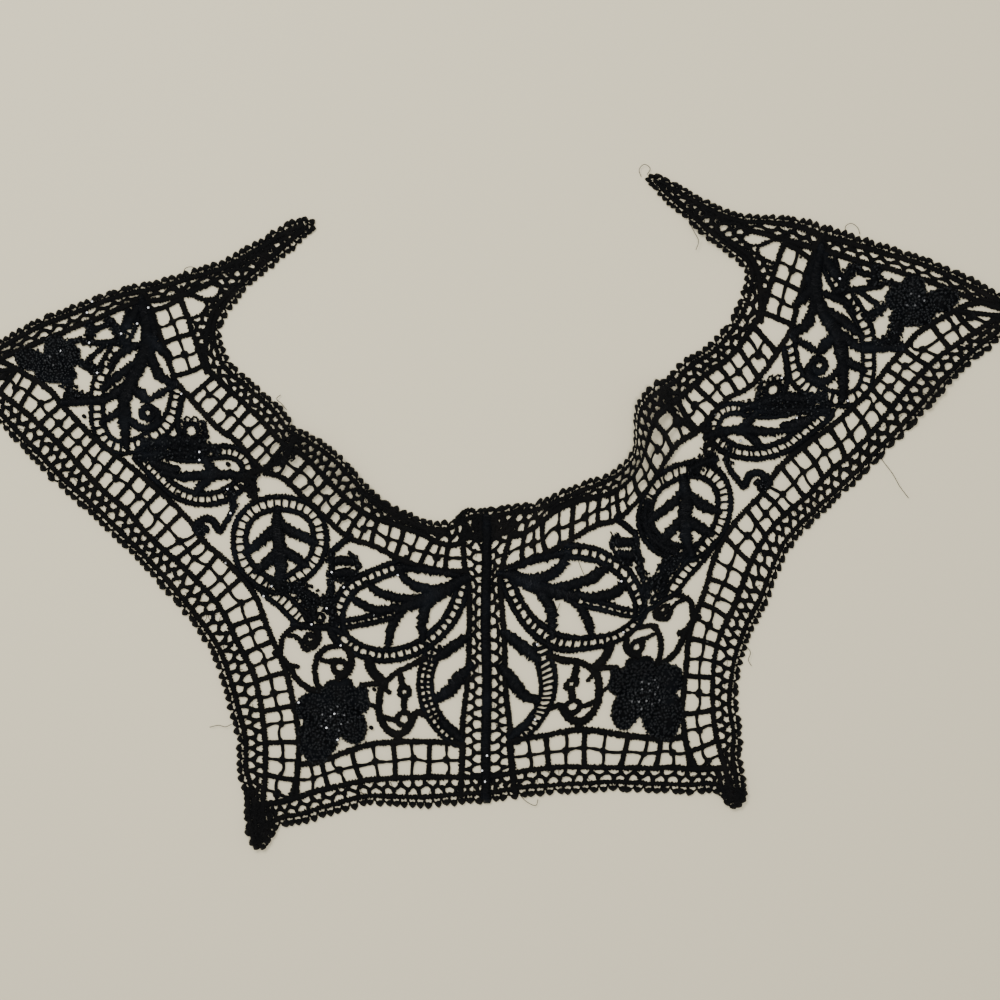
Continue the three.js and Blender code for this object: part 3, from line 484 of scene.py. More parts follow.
# The corner of the hem is gathered into a thick bunch of cords, on the right only at its very end:
# half width, points.
CORNER_BUNCH = [
    (1.3, [(-95.4, -112), (-95.4, -120), (-94.2, -128), (-92.2, -133.6)]),
    (1.2, [(-92.6, -116), (-92.6, -123), (-91.6, -130), (-90.8, -134)]),
    (1.1, [(-89.6, -120), (-89.8, -126), (-89.4, -131)]),
    (0.9, [(-86, -122.5), (-87.6, -126), (-88.8, -129)]),
]
NECK_EDGE = [
    (-69, 115), (-68.5, 112), (-73, 106.5), (-84, 97), (-93.5, 89), (-99, 82.5), (-104.5, 75),
    (-106, 71), (-105, 66), (-102, 58.5), (-95.5, 53), (-89, 47), (-82, 41), (-76, 33), (-71, 30.5),
    (-63, 25.5), (-56.5, 20), (-50, 13), (-42.5, 5), (-35, 0.5), (-27, -3), (-19.5, -5), (-13.5, -4),
    (-7.5, 0), (0, 0.5),
]
NECK_CORD = [
    (-72, 112.5), (-80, 106.5), (-92, 98), (-101.5, 88), (-109.5, 78), (-112.5, 65), (-111.5, 56),
    (-107, 51), (-99, 43.5), (-91.5, 36.5), (-81, 25.5), (-73.5, 21), (-65, 12.5), (-56.5, 4),
    (-47.5, -3), (-37, -6.5), (-26, -10.4), (-20.8, -13.2), (-15.6, -14.8), (-11.6, -14.4),
    (-8.4, -12), (-2, -11.2),
]
SHOULDER_EDGE = [
    (-215.5, 55), (-203, 63), (-189.5, 71), (-179, 76.5), (-164.5, 82), (-147, 88.5), (-132.5, 91.5),
    (-119.5, 95.5), (-107.5, 99), (-93.5, 106.5), (-79, 115), (-72, 116.5),
]
SHOULDER_CORD = [
    (-205, 55), (-190, 61.6), (-179, 66.4), (-170.8, 69.6), (-162.8, 73.2), (-154.8, 76),
    (-146.8, 79.6), (-138.8, 82.4), (-130.8, 83.2), (-122.8, 84.8), (-108, 91), (-96, 97), (-84, 104),
    (-75, 109.5),
]
OUTER_CORD_HIGH = 0.75
# Steps along an edge, and along a line on which the nearest points are sought.
EDGE_STEP = 0.5
FINE_STEP = 0.4
# Name, tip outline, inner cord, depth and pitch of the picots, width of a cell, half widths of its
# thread and of the outer cord.
EDGINGS = [
    ("outer_edging", OUTER_EDGE, OUTER_CORD, 4.2, 3.2, 4.2, 0.74, 0.95),
    ("hem_edging", HEM_EDGE, HEM_CORD, 4.6, 3.2, 4.9, 0.64, 0.9),
    ("neck_edging", NECK_EDGE, NECK_CORD, 3.8, 2.9, 3.8, 0.7, 0.85),
    ("shoulder_edging", SHOULDER_EDGE, SHOULDER_CORD, 3.7, 2.95, 6.2, 0.62, 1.0),
]
# Along the strap the cells of two edgings meet without a cord between them: part of the cord drawn.
STRAP_CORDS = {"neck_edging": slice(3, None), "shoulder_edging": slice(0, -3)}
# A picot's loop from its cord out and back: along the edge, as a share of the pitch, and outwards, as
# a share of the depth.
PICOT_LOOP = np.array([
    (-0.5, 0.08), (-0.5, 0.3), (-0.36, 0.5), (0, 0.6), (0.36, 0.5), (0.5, 0.3), (0.5, 0.08),
])
PICOT_THREAD = 0.42
# Its knot: outwards as a share of the depth, half width as a share of the pitch.
PICOT_KNOT = np.array([(0.44, 0.36), (0.53, 0.48), (0.68, 0.48), (0.84, 0.32), (0.97, 0.1)])
# Places from which nearest() takes a running mean.
MANY = 20
# On the left the neck edging is drawn together between the fold and the placket: half width, points.
NECK_GATHER = (1.3, [(-51, 7), (-42.8, 1.4), (-33.2, -3.8), (-23.6, -8.8), (-15, -10)])


def nearest(line, places):
    """The points of a line that are nearest to places, in order, so that no one lies before the last.
    Many places are close together, and a running mean over nine spreads points that would bunch up."""
    gaps = np.linalg.norm(places[:, None] - line[None], axis=2)
    index = np.maximum.accumulate(gaps.argmin(axis=1)).astype(float)
    if len(index) > MANY:
        held = np.concatenate([np.full(4, index[0]), index, np.full(4, index[-1])])
        index = np.convolve(held, np.ones(9) / 9, mode="valid")
    whole = np.arange(len(line))
    return np.stack([np.interp(index, whole, line[:, i]) for i in (0, 1)], axis=1)


def picots(foot, out, depth, pitch, rng):
    """Picots on points foot (m, 2) that stand out along unit vectors out: a thread loop that meets
    its neighbours' and, on its top, a plump knot that is widest in the middle and ends in a point."""
    along = np.stack([out[:, 1], -out[:, 0]], axis=1)
    size = depth * rng.uniform(0.9, 1.08, (len(foot), 1))
    lean = rng.normal(0, 0.16, (len(foot), 1))
    loop = along[:, None] * (pitch * np.ones_like(size) * PICOT_LOOP[:, 0])[..., None]
    loop = foot[:, None] + loop + out[:, None] * (size * PICOT_LOOP[:, 1])[..., None]
    loop = np.concatenate([loop, np.full(loop.shape[:2] + (1,), 0.9)], axis=2)
    way = out + along * lean
    knot = foot[:, None] + way[:, None] * (size * PICOT_KNOT[:, 0])[..., None]
    knot = np.concatenate([knot, np.full(knot.shape[:2] + (1,), 0.95)], axis=2)
    plump = rng.uniform(0.9, 1.15, (len(foot), 1))
    wide = pitch * plump * PICOT_KNOT[:, 1]
    return [tube(loop, PICOT_THREAD, PICOT_THREAD, sides=6),
            tube(knot, wide, wide * 0.62, sides=8, tip=0.3)]


for seed, side in enumerate(SIDES):
    for number, (name, outline, cord, depth, pitch, cell, thread, outer_half) in enumerate(EDGINGS):
        rng = np.random.default_rng(30 + 10 * number + seed)
        tips = smooth_line(outline, EDGE_STEP)
        inner = samples(nearest(smooth_line(cord, FINE_STEP), tips[::4]), len(tips))
        apart = np.linalg.norm(tips - inner, axis=1, keepdims=True)
        out = (tips - inner) / np.maximum(apart, 1e-6)
        foot = tips - out * depth
        reach = len(tips) * EDGE_STEP
        drawn = cord[STRAP_CORDS.get(name, slice(None))]
        parts = [
            satin(stitches(drawn), CORD_HALF, CORD_HIGH, rng),
            satin(stitches(samples(foot, len(foot) // 10)), outer_half, OUTER_CORD_HIGH, rng),
        ]
        rows = 2 * round(reach / cell) + 1
        parts += cells(samples(inner, rows), samples(foot, rows), rng, thread)
        count = round(reach / pitch)
        way = samples(out, count)
        parts += picots(samples(foot, count) + rng.normal(0, 0.12, (count, 2)), way, depth, pitch, rng)
        if name == "hem_edging":
            for half, table in CORNER_BUNCH:
                parts += gathers(half, table if side == "left" else table[-2:], rng)
        if name == "neck_edging" and side == "left":
            parts += gathers(*NECK_GATHER, rng)
        piece(f"{name}_{side}_lace", side, parts, wrapped_cotton, "corded_thread", f"{name}_{side}")


# Wide net bands. Between the edgings and the motifs runs a wide net: stout bars every 10 to 14 mm, and
# in each bay two fine bars that cross in a round knot, so that it has four windows.
OUTER_FIELD = [
    (-197, 58.8), (-192.4, 57.8), (-188, 55.6), (-184.4, 53.4), (-179.5, 50.6), (-174, 46.4),
    (-170.4, 41.8), (-166.8, 38), (-157, 28), (-147.5, 20.5), (-133.5, 9),
    (-118.5, -5.5), (-113.5, -13), (-104, -21.5), (-93, -34.5), (-87.5, -48.5), (-80.5, -65),
    (-77.5, -78), (-75.5, -89), (-75.5, -102), (-76.8, -110.8), (-78.4, -116),
]
HEM_FIELD = [
    (-75.6, -102.4), (-70, -102), (-64.8, -100.8), (-56.8, -97.6), (-50.8, -95.6), (-46, -94.4),
    (-34.8, -93.4), (-22.8, -93.4), (-9, -94),
]
HEM_NET_CORD = [(-76, -115.6)] + HEM_CORD[3:7] + HEM_CORD[8:9]
NECK_FIELD = [
    (-124.5, 50.5), (-116, 41), (-107, 31.5), (-100.5, 27), (-95, 20.5), (-89, 14.5), (-82.5, 12.5),
    (-73, 4), (-65, -3.5), (-55, -12), (-45.5, -15), (-33.5, -21), (-22, -24.5), (-9.5, -25.5),
]
BAND_NECK_CORD = NECK_CORD[6:-3] + [(-11.6, -14.8)]
# The band is pinched into a fold between the oval and the round leaf: half width, points.
NECK_FOLD = [
    (2.0, [(-100, 12.4), (-94, 13.6), (-89, 15.6), (-84, 18)]),
    (2.6, [(-84, 18), (-80, 20.8), (-77.6, 25), (-75.6, 29)]),
    (1.7, [(-98.6, 8.8), (-95, 6.4), (-92.6, 3.2)]),
    (2.0, [(-97.4, 13.4), (-94.2, 10.2), (-92.4, 6.4)]),
]
# On the right the fold is slacker: share of the half widths.
SLACK_FOLD = 0.55
STRAP_INNER = [(-137, 86), (-134.5, 79.5), (-129, 64), (-124, 49)]
STRAP_OUTER = [(-124.5, 88), (-122, 82.5), (-117, 68), (-112, 54)]
STRAP_CORD_HALF = 1.0
STRAP_CORD_HIGH = 0.7
# Name, line the bays are counted on, facing line, line that is corded, first and last bar as shares,
# length of a bay, share by which the bays grow along the band.
NET_BANDS = [
    ("outer_mesh_band", OUTER_CORD[:15], OUTER_FIELD[2:], OUTER_FIELD, 0.014, 1, 11.2, 0.12),
    ("hem_mesh_band", HEM_NET_CORD, HEM_FIELD, HEM_FIELD, 0, 1, 13.4, 0),
    ("neck_mesh_band", NECK_FIELD, BAND_NECK_CORD, NECK_FIELD, 0.06, 0.95, 10.9, 0),
    ("strap_mesh_band", STRAP_INNER, STRAP_OUTER, STRAP_INNER, 0.2, 0.9, 12.6, 0),
]
BAY_STEP = 2
BAR_HALF = 0.9
BAR_HIGH = 0.75
BAR_LEVEL = 1.0
BAR_SAMPLES = 25
FINE_HALF = 0.52
BAND_KNOT = 1.85


def at_share(line, share):
    """Points at shares of a line's length."""
    index = np.arange(len(line)) / (len(line) - 1)
    return np.stack([np.interp(share, index, line[:, i]) for i in (0, 1)], axis=1)


def bars(starts, ends, half, rng):
    """Stout bars of satin stitch from each start to each end, toothed like the cords and a quarter
    wider towards both ends."""
    t = np.linspace(0, 1, BAR_SAMPLES)[:, None]
    line = starts[:, None] + (ends - starts)[:, None] * t
    line = line + left_of(line) * (rng.normal(0, 0.3, (len(starts), 1)) * np.sin(np.pi * t.T))[..., None]
    beat = np.where(np.arange(BAR_SAMPLES) % 2 == 0, 0.1, -0.1)
    shift = beat + rng.normal(0, 0.07, (len(starts), BAR_SAMPLES))
    line = line + left_of(line) * shift[..., None]
    uneven = rng.normal(0, 0.06, (len(starts), BAR_SAMPLES))
    wide = half * (1 + 0.25 * (2 * t.T - 1) ** 4) + WRAP + uneven
    centre = np.concatenate([line, np.full(line.shape[:2] + (1,), BAR_LEVEL)], axis=2)
    return tube(centre, wide, BAR_HIGH)


for seed, side in enumerate(SIDES):
    for number, (name, counted, facing, corded, first, last, bay, growth) in enumerate(NET_BANDS):
        rng = np.random.default_rng(80 + 10 * number + seed)
        base = smooth_line(counted, BAY_STEP)
        run = np.linalg.norm(np.diff(base, axis=0), axis=1).sum()
        bays = max(1, round(run * (last - first) / bay))
        even = np.linspace(0, 1, bays + 1)
        share = first + (last - first) * even * (1 - growth + growth * even)
        opposite = smooth_line(facing, FINE_STEP)
        foot = at_share(base, share)
        head = nearest(opposite, foot)
        middle_foot = at_share(base, (share[1:] + share[:-1]) / 2)
        middle_head = nearest(opposite, middle_foot)
        knot = (middle_foot + middle_head) / 2 + rng.normal(0, 0.45, middle_foot.shape)
        halfway = (foot + head) / 2 + rng.normal(0, 0.35, foot.shape)
        parts = [satin(stitches(corded), CORD_HALF, CORD_HIGH, rng), bars(foot, head, BAR_HALF, rng)]
        for start in (middle_foot, middle_head, halfway[:-1], halfway[1:]):
            parts.append(threads(start, knot, FINE_HALF, rng, bow=0.5, points=8))
        parts.append(knots(knot, BAND_KNOT, rng, level=1.25))
        if name == "neck_mesh_band":
            close = (base[-1:] + opposite[-1:]) / 2
            parts.append(threads(halfway[-1:], close, FINE_HALF, rng, bow=0.3))
            for half, table in NECK_FOLD:
                parts += gathers(half if side == "left" else SLACK_FOLD * half, table, rng)
        if name == "strap_mesh_band":
            parts.append(satin(stitches(STRAP_OUTER), STRAP_CORD_HALF, STRAP_CORD_HIGH, rng))
        piece(f"{name}_{side}_net", side, parts, wrapped_cotton, "corded_thread", f"{name}_{side}")


# Strap web. Where the strap leaves the shoulder, the corner is filled with the same small cells as
# the edgings, a little irregular, and they run on along the middle of the strap.
WEB_OUTLINE = [
    (-124, 88), (-108, 92), (-103, 97.5), (-90, 104.5), (-77, 111), (-78, 105.5), (-90, 97.5),
    (-98, 91), (-104, 84), (-111, 74), (-112, 62), (-113.5, 56), (-117, 66), (-121, 79),
]
# Grid of the cells: first corner, pitch and count each way, and how far every other point is shifted.
WEB_CORNER = np.array([-130, 50])
WEB_PITCH = np.array([2.0, 3.0])
WEB_COUNT = (28, 21)
WEB_SHIFT = 0.45
WEB_THREAD = 0.72
WEB_CORD = 0.62
# Two larger windows with a cord round them are left open beside the wide band: x, y.
WEB_WINDOWS = [
    [(-117.8, 85.6), (-111, 89.6), (-106.6, 88), (-108.2, 84.4), (-114.4, 83.4)],
    [(-122.6, 84), (-115, 84.4), (-112, 81.4), (-114, 77.6), (-119.4, 75.8), (-121.6, 80)],
]


def inside(places, outline):
    """True where a point is inside the outline: an odd number of its edges lies to the right."""
    a = np.asarray(outline, float)
    b = np.roll(a, -1, axis=0)
    x, y = places[..., None, 0], places[..., None, 1]
    between = (a[:, 1] > y) != (b[:, 1] > y)
    rise = np.where(b[:, 1] == a[:, 1], 1e-9, b[:, 1] - a[:, 1])
    reach = a[:, 0] + (y - a[:, 1]) / rise * (b[:, 0] - a[:, 0])
    return (between & (x < reach)).sum(axis=-1) % 2 == 1


for seed, side in enumerate(SIDES):
    rng = np.random.default_rng(130 + seed)
    cell = np.moveaxis(np.indices(WEB_COUNT), 0, -1)
    even = cell.sum(axis=-1) % 2 == 0
    grid = WEB_CORNER + WEB_PITCH * cell
    grid[..., 1] += np.where(even, WEB_SHIFT, -WEB_SHIFT)
    grid += rng.normal(0, 0.25, grid.shape)
    held = inside(grid, WEB_OUTLINE)
    for window in WEB_WINDOWS:
        held &= ~inside(grid, window)
    level_pair = held[:-1] & held[1:]
    upright = held[:, :-1] & held[:, 1:] & even[:, :-1]
    parts = [satin(stitches(window, closed=True), WEB_CORD, 0.7, rng) for window in WEB_WINDOWS]
    parts.append(threads(grid[:-1][level_pair], grid[1:][level_pair], WEB_THREAD, rng))
    parts.append(threads(grid[:, :-1][upright], grid[:, 1:][upright], WEB_THREAD, rng))
    piece(f"strap_web_{side}_net", side, parts, wrapped_cotton, "corded_thread", f"strap_web_{side}")


# Leaves. Each is a spray of satin-stitched lobes on a stem, held in a tape of two cords with rungs
# between them like a ladder. Tapes, rings, tails, ribs and lobes are half width, points; rungs are
# pitch, half width; curls are x, y, radius, half width; and cord is the half width of a tape's cords.
# A leaf with middle has a third cord in its tape on the left, which has slipped aside on the right.
PALMETTE = {
    "tape": (3.0, [
        (-31, -22), (-45.5, -27), (-55.5, -33), (-59.5, -41.5), (-59, -50), (-51.5, -56.5), (-41, -59),
        (-30, -56.8), (-21.8, -51.8), (-15.6, -45.4), (-11.4, -37.2), (-9.4, -30),
    ]),
    "rungs": (3.0, 0.52),
    "lobes": [
        (2.4, [(-36, -41), (-28.8, -38), (-22.8, -35.8), (-16.8, -32.8), (-10.8, -29.2), (-6.8, -27.6)]),
        (1.4, [(-36, -23.5), (-28, -24.4), (-19, -25.4), (-11, -27)]),
        (1.7, [(-35, -24.5), (-33, -28), (-29, -31), (-22.5, -32.4), (-14, -31.2)]),
        (1.6, [(-49, -30), (-42.4, -33.9), (-36.2, -35.8), (-29.4, -36.4), (-24, -35.4)]),
        (1.6, [(-55, -35.5), (-46.8, -40), (-40.8, -40.8), (-34.8, -39.2)]),
        (1.5, [(-40, -57), (-37.7, -46.8), (-33.2, -41)]),
        (1.7, [(-25.8, -54), (-25.6, -43), (-22.5, -37.6), (-18, -33.9)]),
    ],
    "rib": (2.3, [(-57.5, -46.6), (-50.8, -45.4), (-44.8, -44.2), (-38, -42.6)]),
}
CRESCENT = {
    "cord": 0.8,
    "tape": (3.3, [
        (-21.4, -54.5), (-22.6, -60), (-24.4, -66), (-24.8, -71), (-23.8, -77), (-21.2, -83),
        (-16.8, -88.6), (-10.4, -93.4),
    ]),
    "middle": True,
    "rungs": (2.4, 0.5),
    "lobes": [
        (1.9, [(-21, -60.8), (-17.4, -58.2), (-12.6, -54.8), (-6.6, -50.6)]),
        (2.2, [(-21, -77), (-15, -73), (-11, -68), (-6, -62.5)]),
        (1.5, [(-18.6, -84), (-15.4, -88), (-9.5, -93)]),
    ],
}
ROUND_LEAF = {
    "ring": (3.4, [
        (-84, -31.5), (-77.5, -28.8), (-71.6, -24.2), (-68.4, -20), (-66.8, -15.2), (-66.8, -10),
        (-68.4, -4.8), (-72, -0.8), (-77.2, 1.2), (-82.8, 2), (-88.2, 1.4), (-93.2, -1), (-97, -5),
        (-98.8, -10.4), (-98.6, -16), (-97.2, -21.5), (-94, -26),
    ]),
    "rungs": (3.05, 0.34),
    "tail": (3.6, [(-91.5, -28), (-85.5, -34), (-80.5, -38), (-76, -42.5), (-72, -46)]),
    "lobes": [
        (2.3, [(-83.5, 0), (-84, -9), (-82.8, -16), (-82.4, -25), (-83.5, -32)]),
        (1.8, [(-84, -6), (-87.5, -10.5), (-91.5, -14.5), (-97, -18)]),
        (1.8, [(-83, -16), (-87.5, -21.5), (-93, -26)]),
        (1.8, [(-83, -5), (-79, -9), (-74.5, -11), (-68, -14)]),
        (1.8, [(-82.5, -15.5), (-78, -19), (-71.5, -23.5)]),
    ],
}
OVAL_LEAF = {
    "ring": (3.0, [
        (-138.5, 21), (-134.4, 16), (-129.5, 11), (-125, 7), (-119, 4.4), (-113, 3.4), (-107, 4.4),
        (-102, 6.8), (-97.6, 10.4), (-95.4, 15), (-97.6, 20), (-103, 22.4), (-109, 22), (-115.5, 21),
        (-123, 21.4), (-130, 23),
    ]),
    "rungs": (2.5, 0.3),
    "lobes": [
        (1.9, [(-134, 18.4), (-129, 16), (-123.4, 15)]),
        (1.7, [(-130, 14), (-121, 12.5), (-111, 13.2), (-101, 13.2), (-92, 12)]),
        (1.7, [(-113.5, 20.5), (-110.5, 16), (-106.5, 12.5)]),
        (1.5, [(-117, 5), (-113.5, 9.5), (-108.5, 12.5)]),
        (1.7, [(-138, 27), (-130, 26), (-121, 27), (-113, 24.5), (-108, 22.5)]),
    ],
}
WING_LEAF = {
    "cord": 0.84,
    "tape": (3.1, [
        (-141, 79), (-143.6, 71), (-147.2, 65), (-150.4, 59.5), (-153.4, 54), (-155.4, 48), (-155.8, 40),
        (-155.2, 33), (-152, 26.5), (-146, 24.2), (-140, 25.4), (-134, 28.4), (-129, 32), (-125.5, 38),
        (-123.6, 46),
    ]),
    "rungs": (3.1, 0.45),
    "lobes": [
        (2.4, [(-144, 24), (-144.8, 33), (-144.8, 42.5), (-142.8, 49.5), (-138.8, 57), (-136, 64.5),
               (-135.8, 71), (-137, 77), (-138, 84)]),
        (1.4, [(-137, 83), (-134.4, 76), (-133, 69), (-134, 62)]),
        (1.8, [(-146, 70.6), (-142.6, 75), (-139.2, 81)]),
        (1.8, [(-135.5, 66), (-133.5, 58), (-130.5, 52.5), (-124, 49.5)]),
        (1.8, [(-136, 69), (-131.5, 64.5), (-126, 59.5)]),
        (1.4, [(-136.5, 66.5), (-143, 63.5), (-148.5, 60.5), (-151, 56)]),
        (1.6, [(-138.5, 59.5), (-143.5, 56), (-149, 51.5), (-154, 47)]),
        (1.7, [(-142, 51), (-147, 47), (-154, 42)]),
        (1.5, [(-145, 40), (-149.5, 37), (-154.5, 34)]),
        (1.9, [(-143.5, 49), (-139, 46), (-135, 42.5)]),
        (1.4, [(-144.5, 39), (-142.5, 35), (-139.5, 32.5), (-135.5, 31.8), (-132, 34), (-131.6, 38),
               (-134, 41)]),
        (1.2, [(-136, 42.5), (-130, 46), (-124, 49)]),
    ],
    "curls": [(-135.6, 38, 2.4, 1.3)],
}
# Half width of the cords of a tape, where the leaf doesn't give its own, and their height.
LEAF_CORD = 1.05
LEAF_CORD_HIGH = 0.75
# A third cord's half width and height.
MIDDLE_CORD = (0.5, 0.7)
# On the right the inner side of the round leaf's tape is turned on its edge: half width, points.
TURNED_TAPE = (2.1, ROUND_LEAF["ring"][1][1:6] + [(-68, -6)])
LOBE_STITCH = 1.3
LOBE_TOOTH = 0.7
LEAVES = [("palmette", PALMETTE), ("crescent", CRESCENT), ("round_leaf", ROUND_LEAF),
          ("oval_leaf", OVAL_LEAF), ("wing_leaf", WING_LEAF)]


def ladder(half, table, rungs, cord, rng, closed=False, middle=False):
    """A tape: a cord at each side of its line, a third one in the middle where it has one, and rungs
    across it at the pitch, each a little off square."""
    line = stitches(table, closed)
    out = left_of(line) * (half - cord * 0.8)
    made = [satin(line + way * out, cord, LEAF_CORD_HIGH, rng) for way in (1, -1)]
    if middle:
        made.append(satin(line, *MIDDLE_CORD, rng))
    pitch, thread = rungs
    count = round((len(line) - 1) * STITCH / 2 / pitch)
    spine = samples(line, count + 1)[1:]
    across = samples(out, count + 1)[1:]
    slant = rng.normal(0.05, 0.14, (count, 1)) * left_of(across)
    return made + [threads(spine - across - slant, spine + across + slant, thread, rng, bow=0.3)]


def lobe(half, table, rng):
    """A satin lobe: its width swells from its foot to the middle and narrows again, quickly at both
    ends, as a sine raised to a power below one, and a wide lobe is higher than a narrow one."""
    line = smooth_line(table, LOBE_STITCH / 2)
    share = np.linspace(0, 1, len(line))
    width = half * (0.6 + 0.58 * np.sin(np.pi * np.clip(share, 0.02, 0.98)) ** 0.7)
    return satin(line, width, 0.55 + half * 0.28, rng, level=1.15, teeth=LOBE_TOOTH, sides=10)


def curl(x, y, radius, half, rng):
    """A small closed ring of cord."""
    turn = np.linspace(0, 2 * np.pi, 9)[:-1]
    table = np.column_stack([x + radius * np.cos(turn), y + radius * np.sin(turn)])
    return satin(stitches(table, closed=True), half, CORD_HIGH, rng)


for seed, side in enumerate(SIDES):
    for number, (name, leaf) in enumerate(LEAVES):
        rng = np.random.default_rng(140 + 10 * number + seed)
        cord = leaf.get("cord", LEAF_CORD)
        parts = []
        for tape in ("tape", "ring", "tail", "rib"):
            if tape in leaf:
                parts += ladder(*leaf[tape], leaf["rungs"], cord, rng, closed=tape == "ring",
                                middle=side == "left" and "middle" in leaf)
        if name == "round_leaf" and side == "right":
            parts += gathers(*TURNED_TAPE, rng, most=1.6)
        parts += [lobe(*values, rng) for values in leaf["lobes"]]
        parts += [curl(*values, rng) for values in leaf.get("curls", [])]
        piece(f"{name}_{side}_satin", side, parts, satin_rayon, "satin_thread", f"{name}_{side}")


# Scrolls and curls. Stems of the same cord run between the motifs, with rings and short sprigs; the
# ruched curl and the sprigs in the wing are closely beaded.
# Name, plain stems (half width, points), gathered and beaded stems, rings (x, y, radius, half width).
SCROLLS = [
    ("flower_scrolls", [
        (1.0, [(-82.4, -58.4), (-82.4, -54.8), (-81.6, -51.6), (-79.2, -49.2), (-75.2, -47.2),
                (-70, -46.8)]),
        (0.95, [(-79.6, -50.8), (-76.8, -51.2), (-74.8, -52.8), (-73.6, -55.2), (-72.4, -56.8),
                (-69.6, -55.6)]),
        (1.25, [(-69.8, -55.8), (-67.6, -53.2), (-67.4, -50), (-69.6, -47.6)]),
        (1.15, [(-85.2, -57.6), (-82, -60), (-78.8, -63.6), (-76.4, -67.6), (-73.2, -70.8),
               (-69.6, -72.8), (-66, -73.6)]),
        (0.9, [(-79.4, -62.6), (-76.2, -63.3)]),
        (1.1, [(-66, -73.6), (-68, -69.6), (-68.8, -64.8), (-68, -60.4), (-66, -57.2), (-62.8, -55.6),
               (-58.4, -54.8)]),
        (0.9, [(-66.4, -60.8), (-62.8, -61.2), (-60, -60.4)]),
        (1.4, [(-57.2, -54.8), (-54.8, -57.6), (-54.2, -61.2), (-54.8, -64.4), (-57.2, -66.8),
               (-59.6, -67.8)]),
        (1.0, [(-59.6, -66.4), (-59.6, -70)]),
    ], [], [(-58.8, -63.6, 2.6, 1.15), (-70.8, -52.4, 1.9, 1.05)]),
    ("hem_scroll", [
        (2.0, [(-47.2, -59.6), (-46.8, -62.8), (-45.2, -66), (-42.8, -68.4), (-40.4, -70)]),
        (1.05, [(-50.4, -70.8), (-46.8, -70.4), (-43.6, -70), (-40.4, -69.6)]),
        (1.1, [(-40.4, -69.6), (-38, -67.2), (-34.4, -64.8), (-30, -62.8), (-24.5, -59.6)]),
        (1.35, [(-40.8, -69.6), (-42.4, -72.6), (-43.2, -78.4), (-42.8, -83.4), (-40.6, -87.6),
                (-37.2, -90.2), (-33.8, -90), (-30.7, -87), (-29.4, -83.4), (-28, -81.8),
                (-24.6, -82.4)]),
        (1.3, [(-34.6, -66), (-34.2, -70), (-33.4, -72)]),
        (1.2, [(-32.8, -75.2), (-33.2, -79), (-33, -82)]),
        (1.1, [(-36, -90.4), (-34.4, -93.6)]),
        (0.9, [(-41.2, -72), (-38.8, -74)]),
        (0.8, [(-46.8, -78.4), (-44.4, -79.6), (-42, -81.2)]),
        (0.9, [(-41.8, -83.2), (-39.2, -84.2), (-36.2, -85)]),
    ], [], [(-33.2, -84.3, 2.7, 1.0), (-33, -73.4, 2.0, 0.95)]),
    ("ruched_curl", [
        (1.3, [(-54, -11), (-58.4, -14.4), (-62.4, -18)]),
        (1.4, [(-78, -46.4), (-70, -47.6), (-62, -48), (-58, -50)]),
        (1.4, [(-64, -46.4), (-61.6, -50.8), (-59.6, -53.6), (-58.4, -54.8)]),
        (1.9, [(-60.4, -21.2), (-57, -21), (-53.6, -21.4)]),
        (1.9, [(-60.4, -26.2), (-57, -26), (-53.6, -25.6)]),
    ], [
        (3.4, [(-76, -30.8), (-71, -34.8), (-66, -37.8), (-61.6, -36.6)]),
        (2.2, [(-82, -30), (-77, -32), (-72, -37.4), (-69, -41)]),
        (1.8, [(-62.2, -35), (-62, -25.6), (-62.4, -18.4)]),
        (1.9, [(-63.6, -39), (-61.6, -43), (-60, -47)]),
        (1.0, [(-55.2, -18), (-52, -20.6), (-51.8, -24.8), (-54, -27.6), (-58.4, -29)]),
    ], [(-70.8, -43.4, 1.9, 0.9), (-66.8, -43.8, 1.6, 0.8)]),
    ("ring_curl", [
        (1.2, [(-122, 44), (-123.4, 37), (-123, 30), (-121, 25)]),
    ], [
        (2.4, [(-138, 25.6), (-130, 26), (-121, 26.4), (-114, 25), (-107, 22.6)]),
        (2.2, [(-139, 20.8), (-131, 21.4), (-122, 21.8), (-113, 21.6)]),
        (0.9, [(-113.4, 34.6), (-112.2, 30.6), (-112.6, 27)]),
    ], [(-118.2, 30.8, 2.7, 0.8)] + [
        (-118.2 + 4.7 * np.cos(turn), 30.8 + 4.7 * np.sin(turn), 1.15, 0.3)
        for turn in np.arange(10) * np.pi / 5
    ]),
    ("small_curl", [
        (1.5, [(-117, -8.8), (-115.2, -5.6), (-112.2, -4.2), (-109.4, -5.2), (-107.8, -8), (-106.6, -10)]),
        (1.1, [(-106.8, -9.6), (-104.6, -6), (-102, -1.4), (-101.6, 2)]),
    ], [
        (2.2, [(-115.8, -9.8), (-111.8, -8)]),
        (1.8, [(-103.6, 8), (-101.6, 4), (-101.4, 0)]),
    ], []),
    ("wing_lobe", [
        (1.8, [(-170, 42.4), (-165, 42.6), (-159, 42.8), (-153, 43)]),
    ], [
        (3.0, [(-166.8, 51), (-166.8, 47), (-165.4, 43.6)]),
        (1.8, [(-164, 45.4), (-158.6, 44)]),
    ], []),
    ("wing_sprigs", [
        (1.3, [(-161.6, 66.4), (-154.8, 66), (-149, 66.2), (-142.4, 65.6)]),
        (1.0, [(-160, 58.8), (-155, 63), (-151.6, 66.4)]),
        (1.2, [(-160, 70.4), (-156.4, 71.4), (-152.4, 73)]),
    ], [
        (2.4, [(-158.8, 74.4), (-158.6, 70), (-158.9, 65.8)]),
        (2.4, [(-152, 75.6), (-149.4, 73.6), (-147, 70), (-145.6, 66.4)]),
        (2.3, [(-162.4, 57.6), (-158, 56), (-155, 54)]),
        (1.2, [(-170, 64), (-165, 67), (-161, 67)]),
    ], []),
]
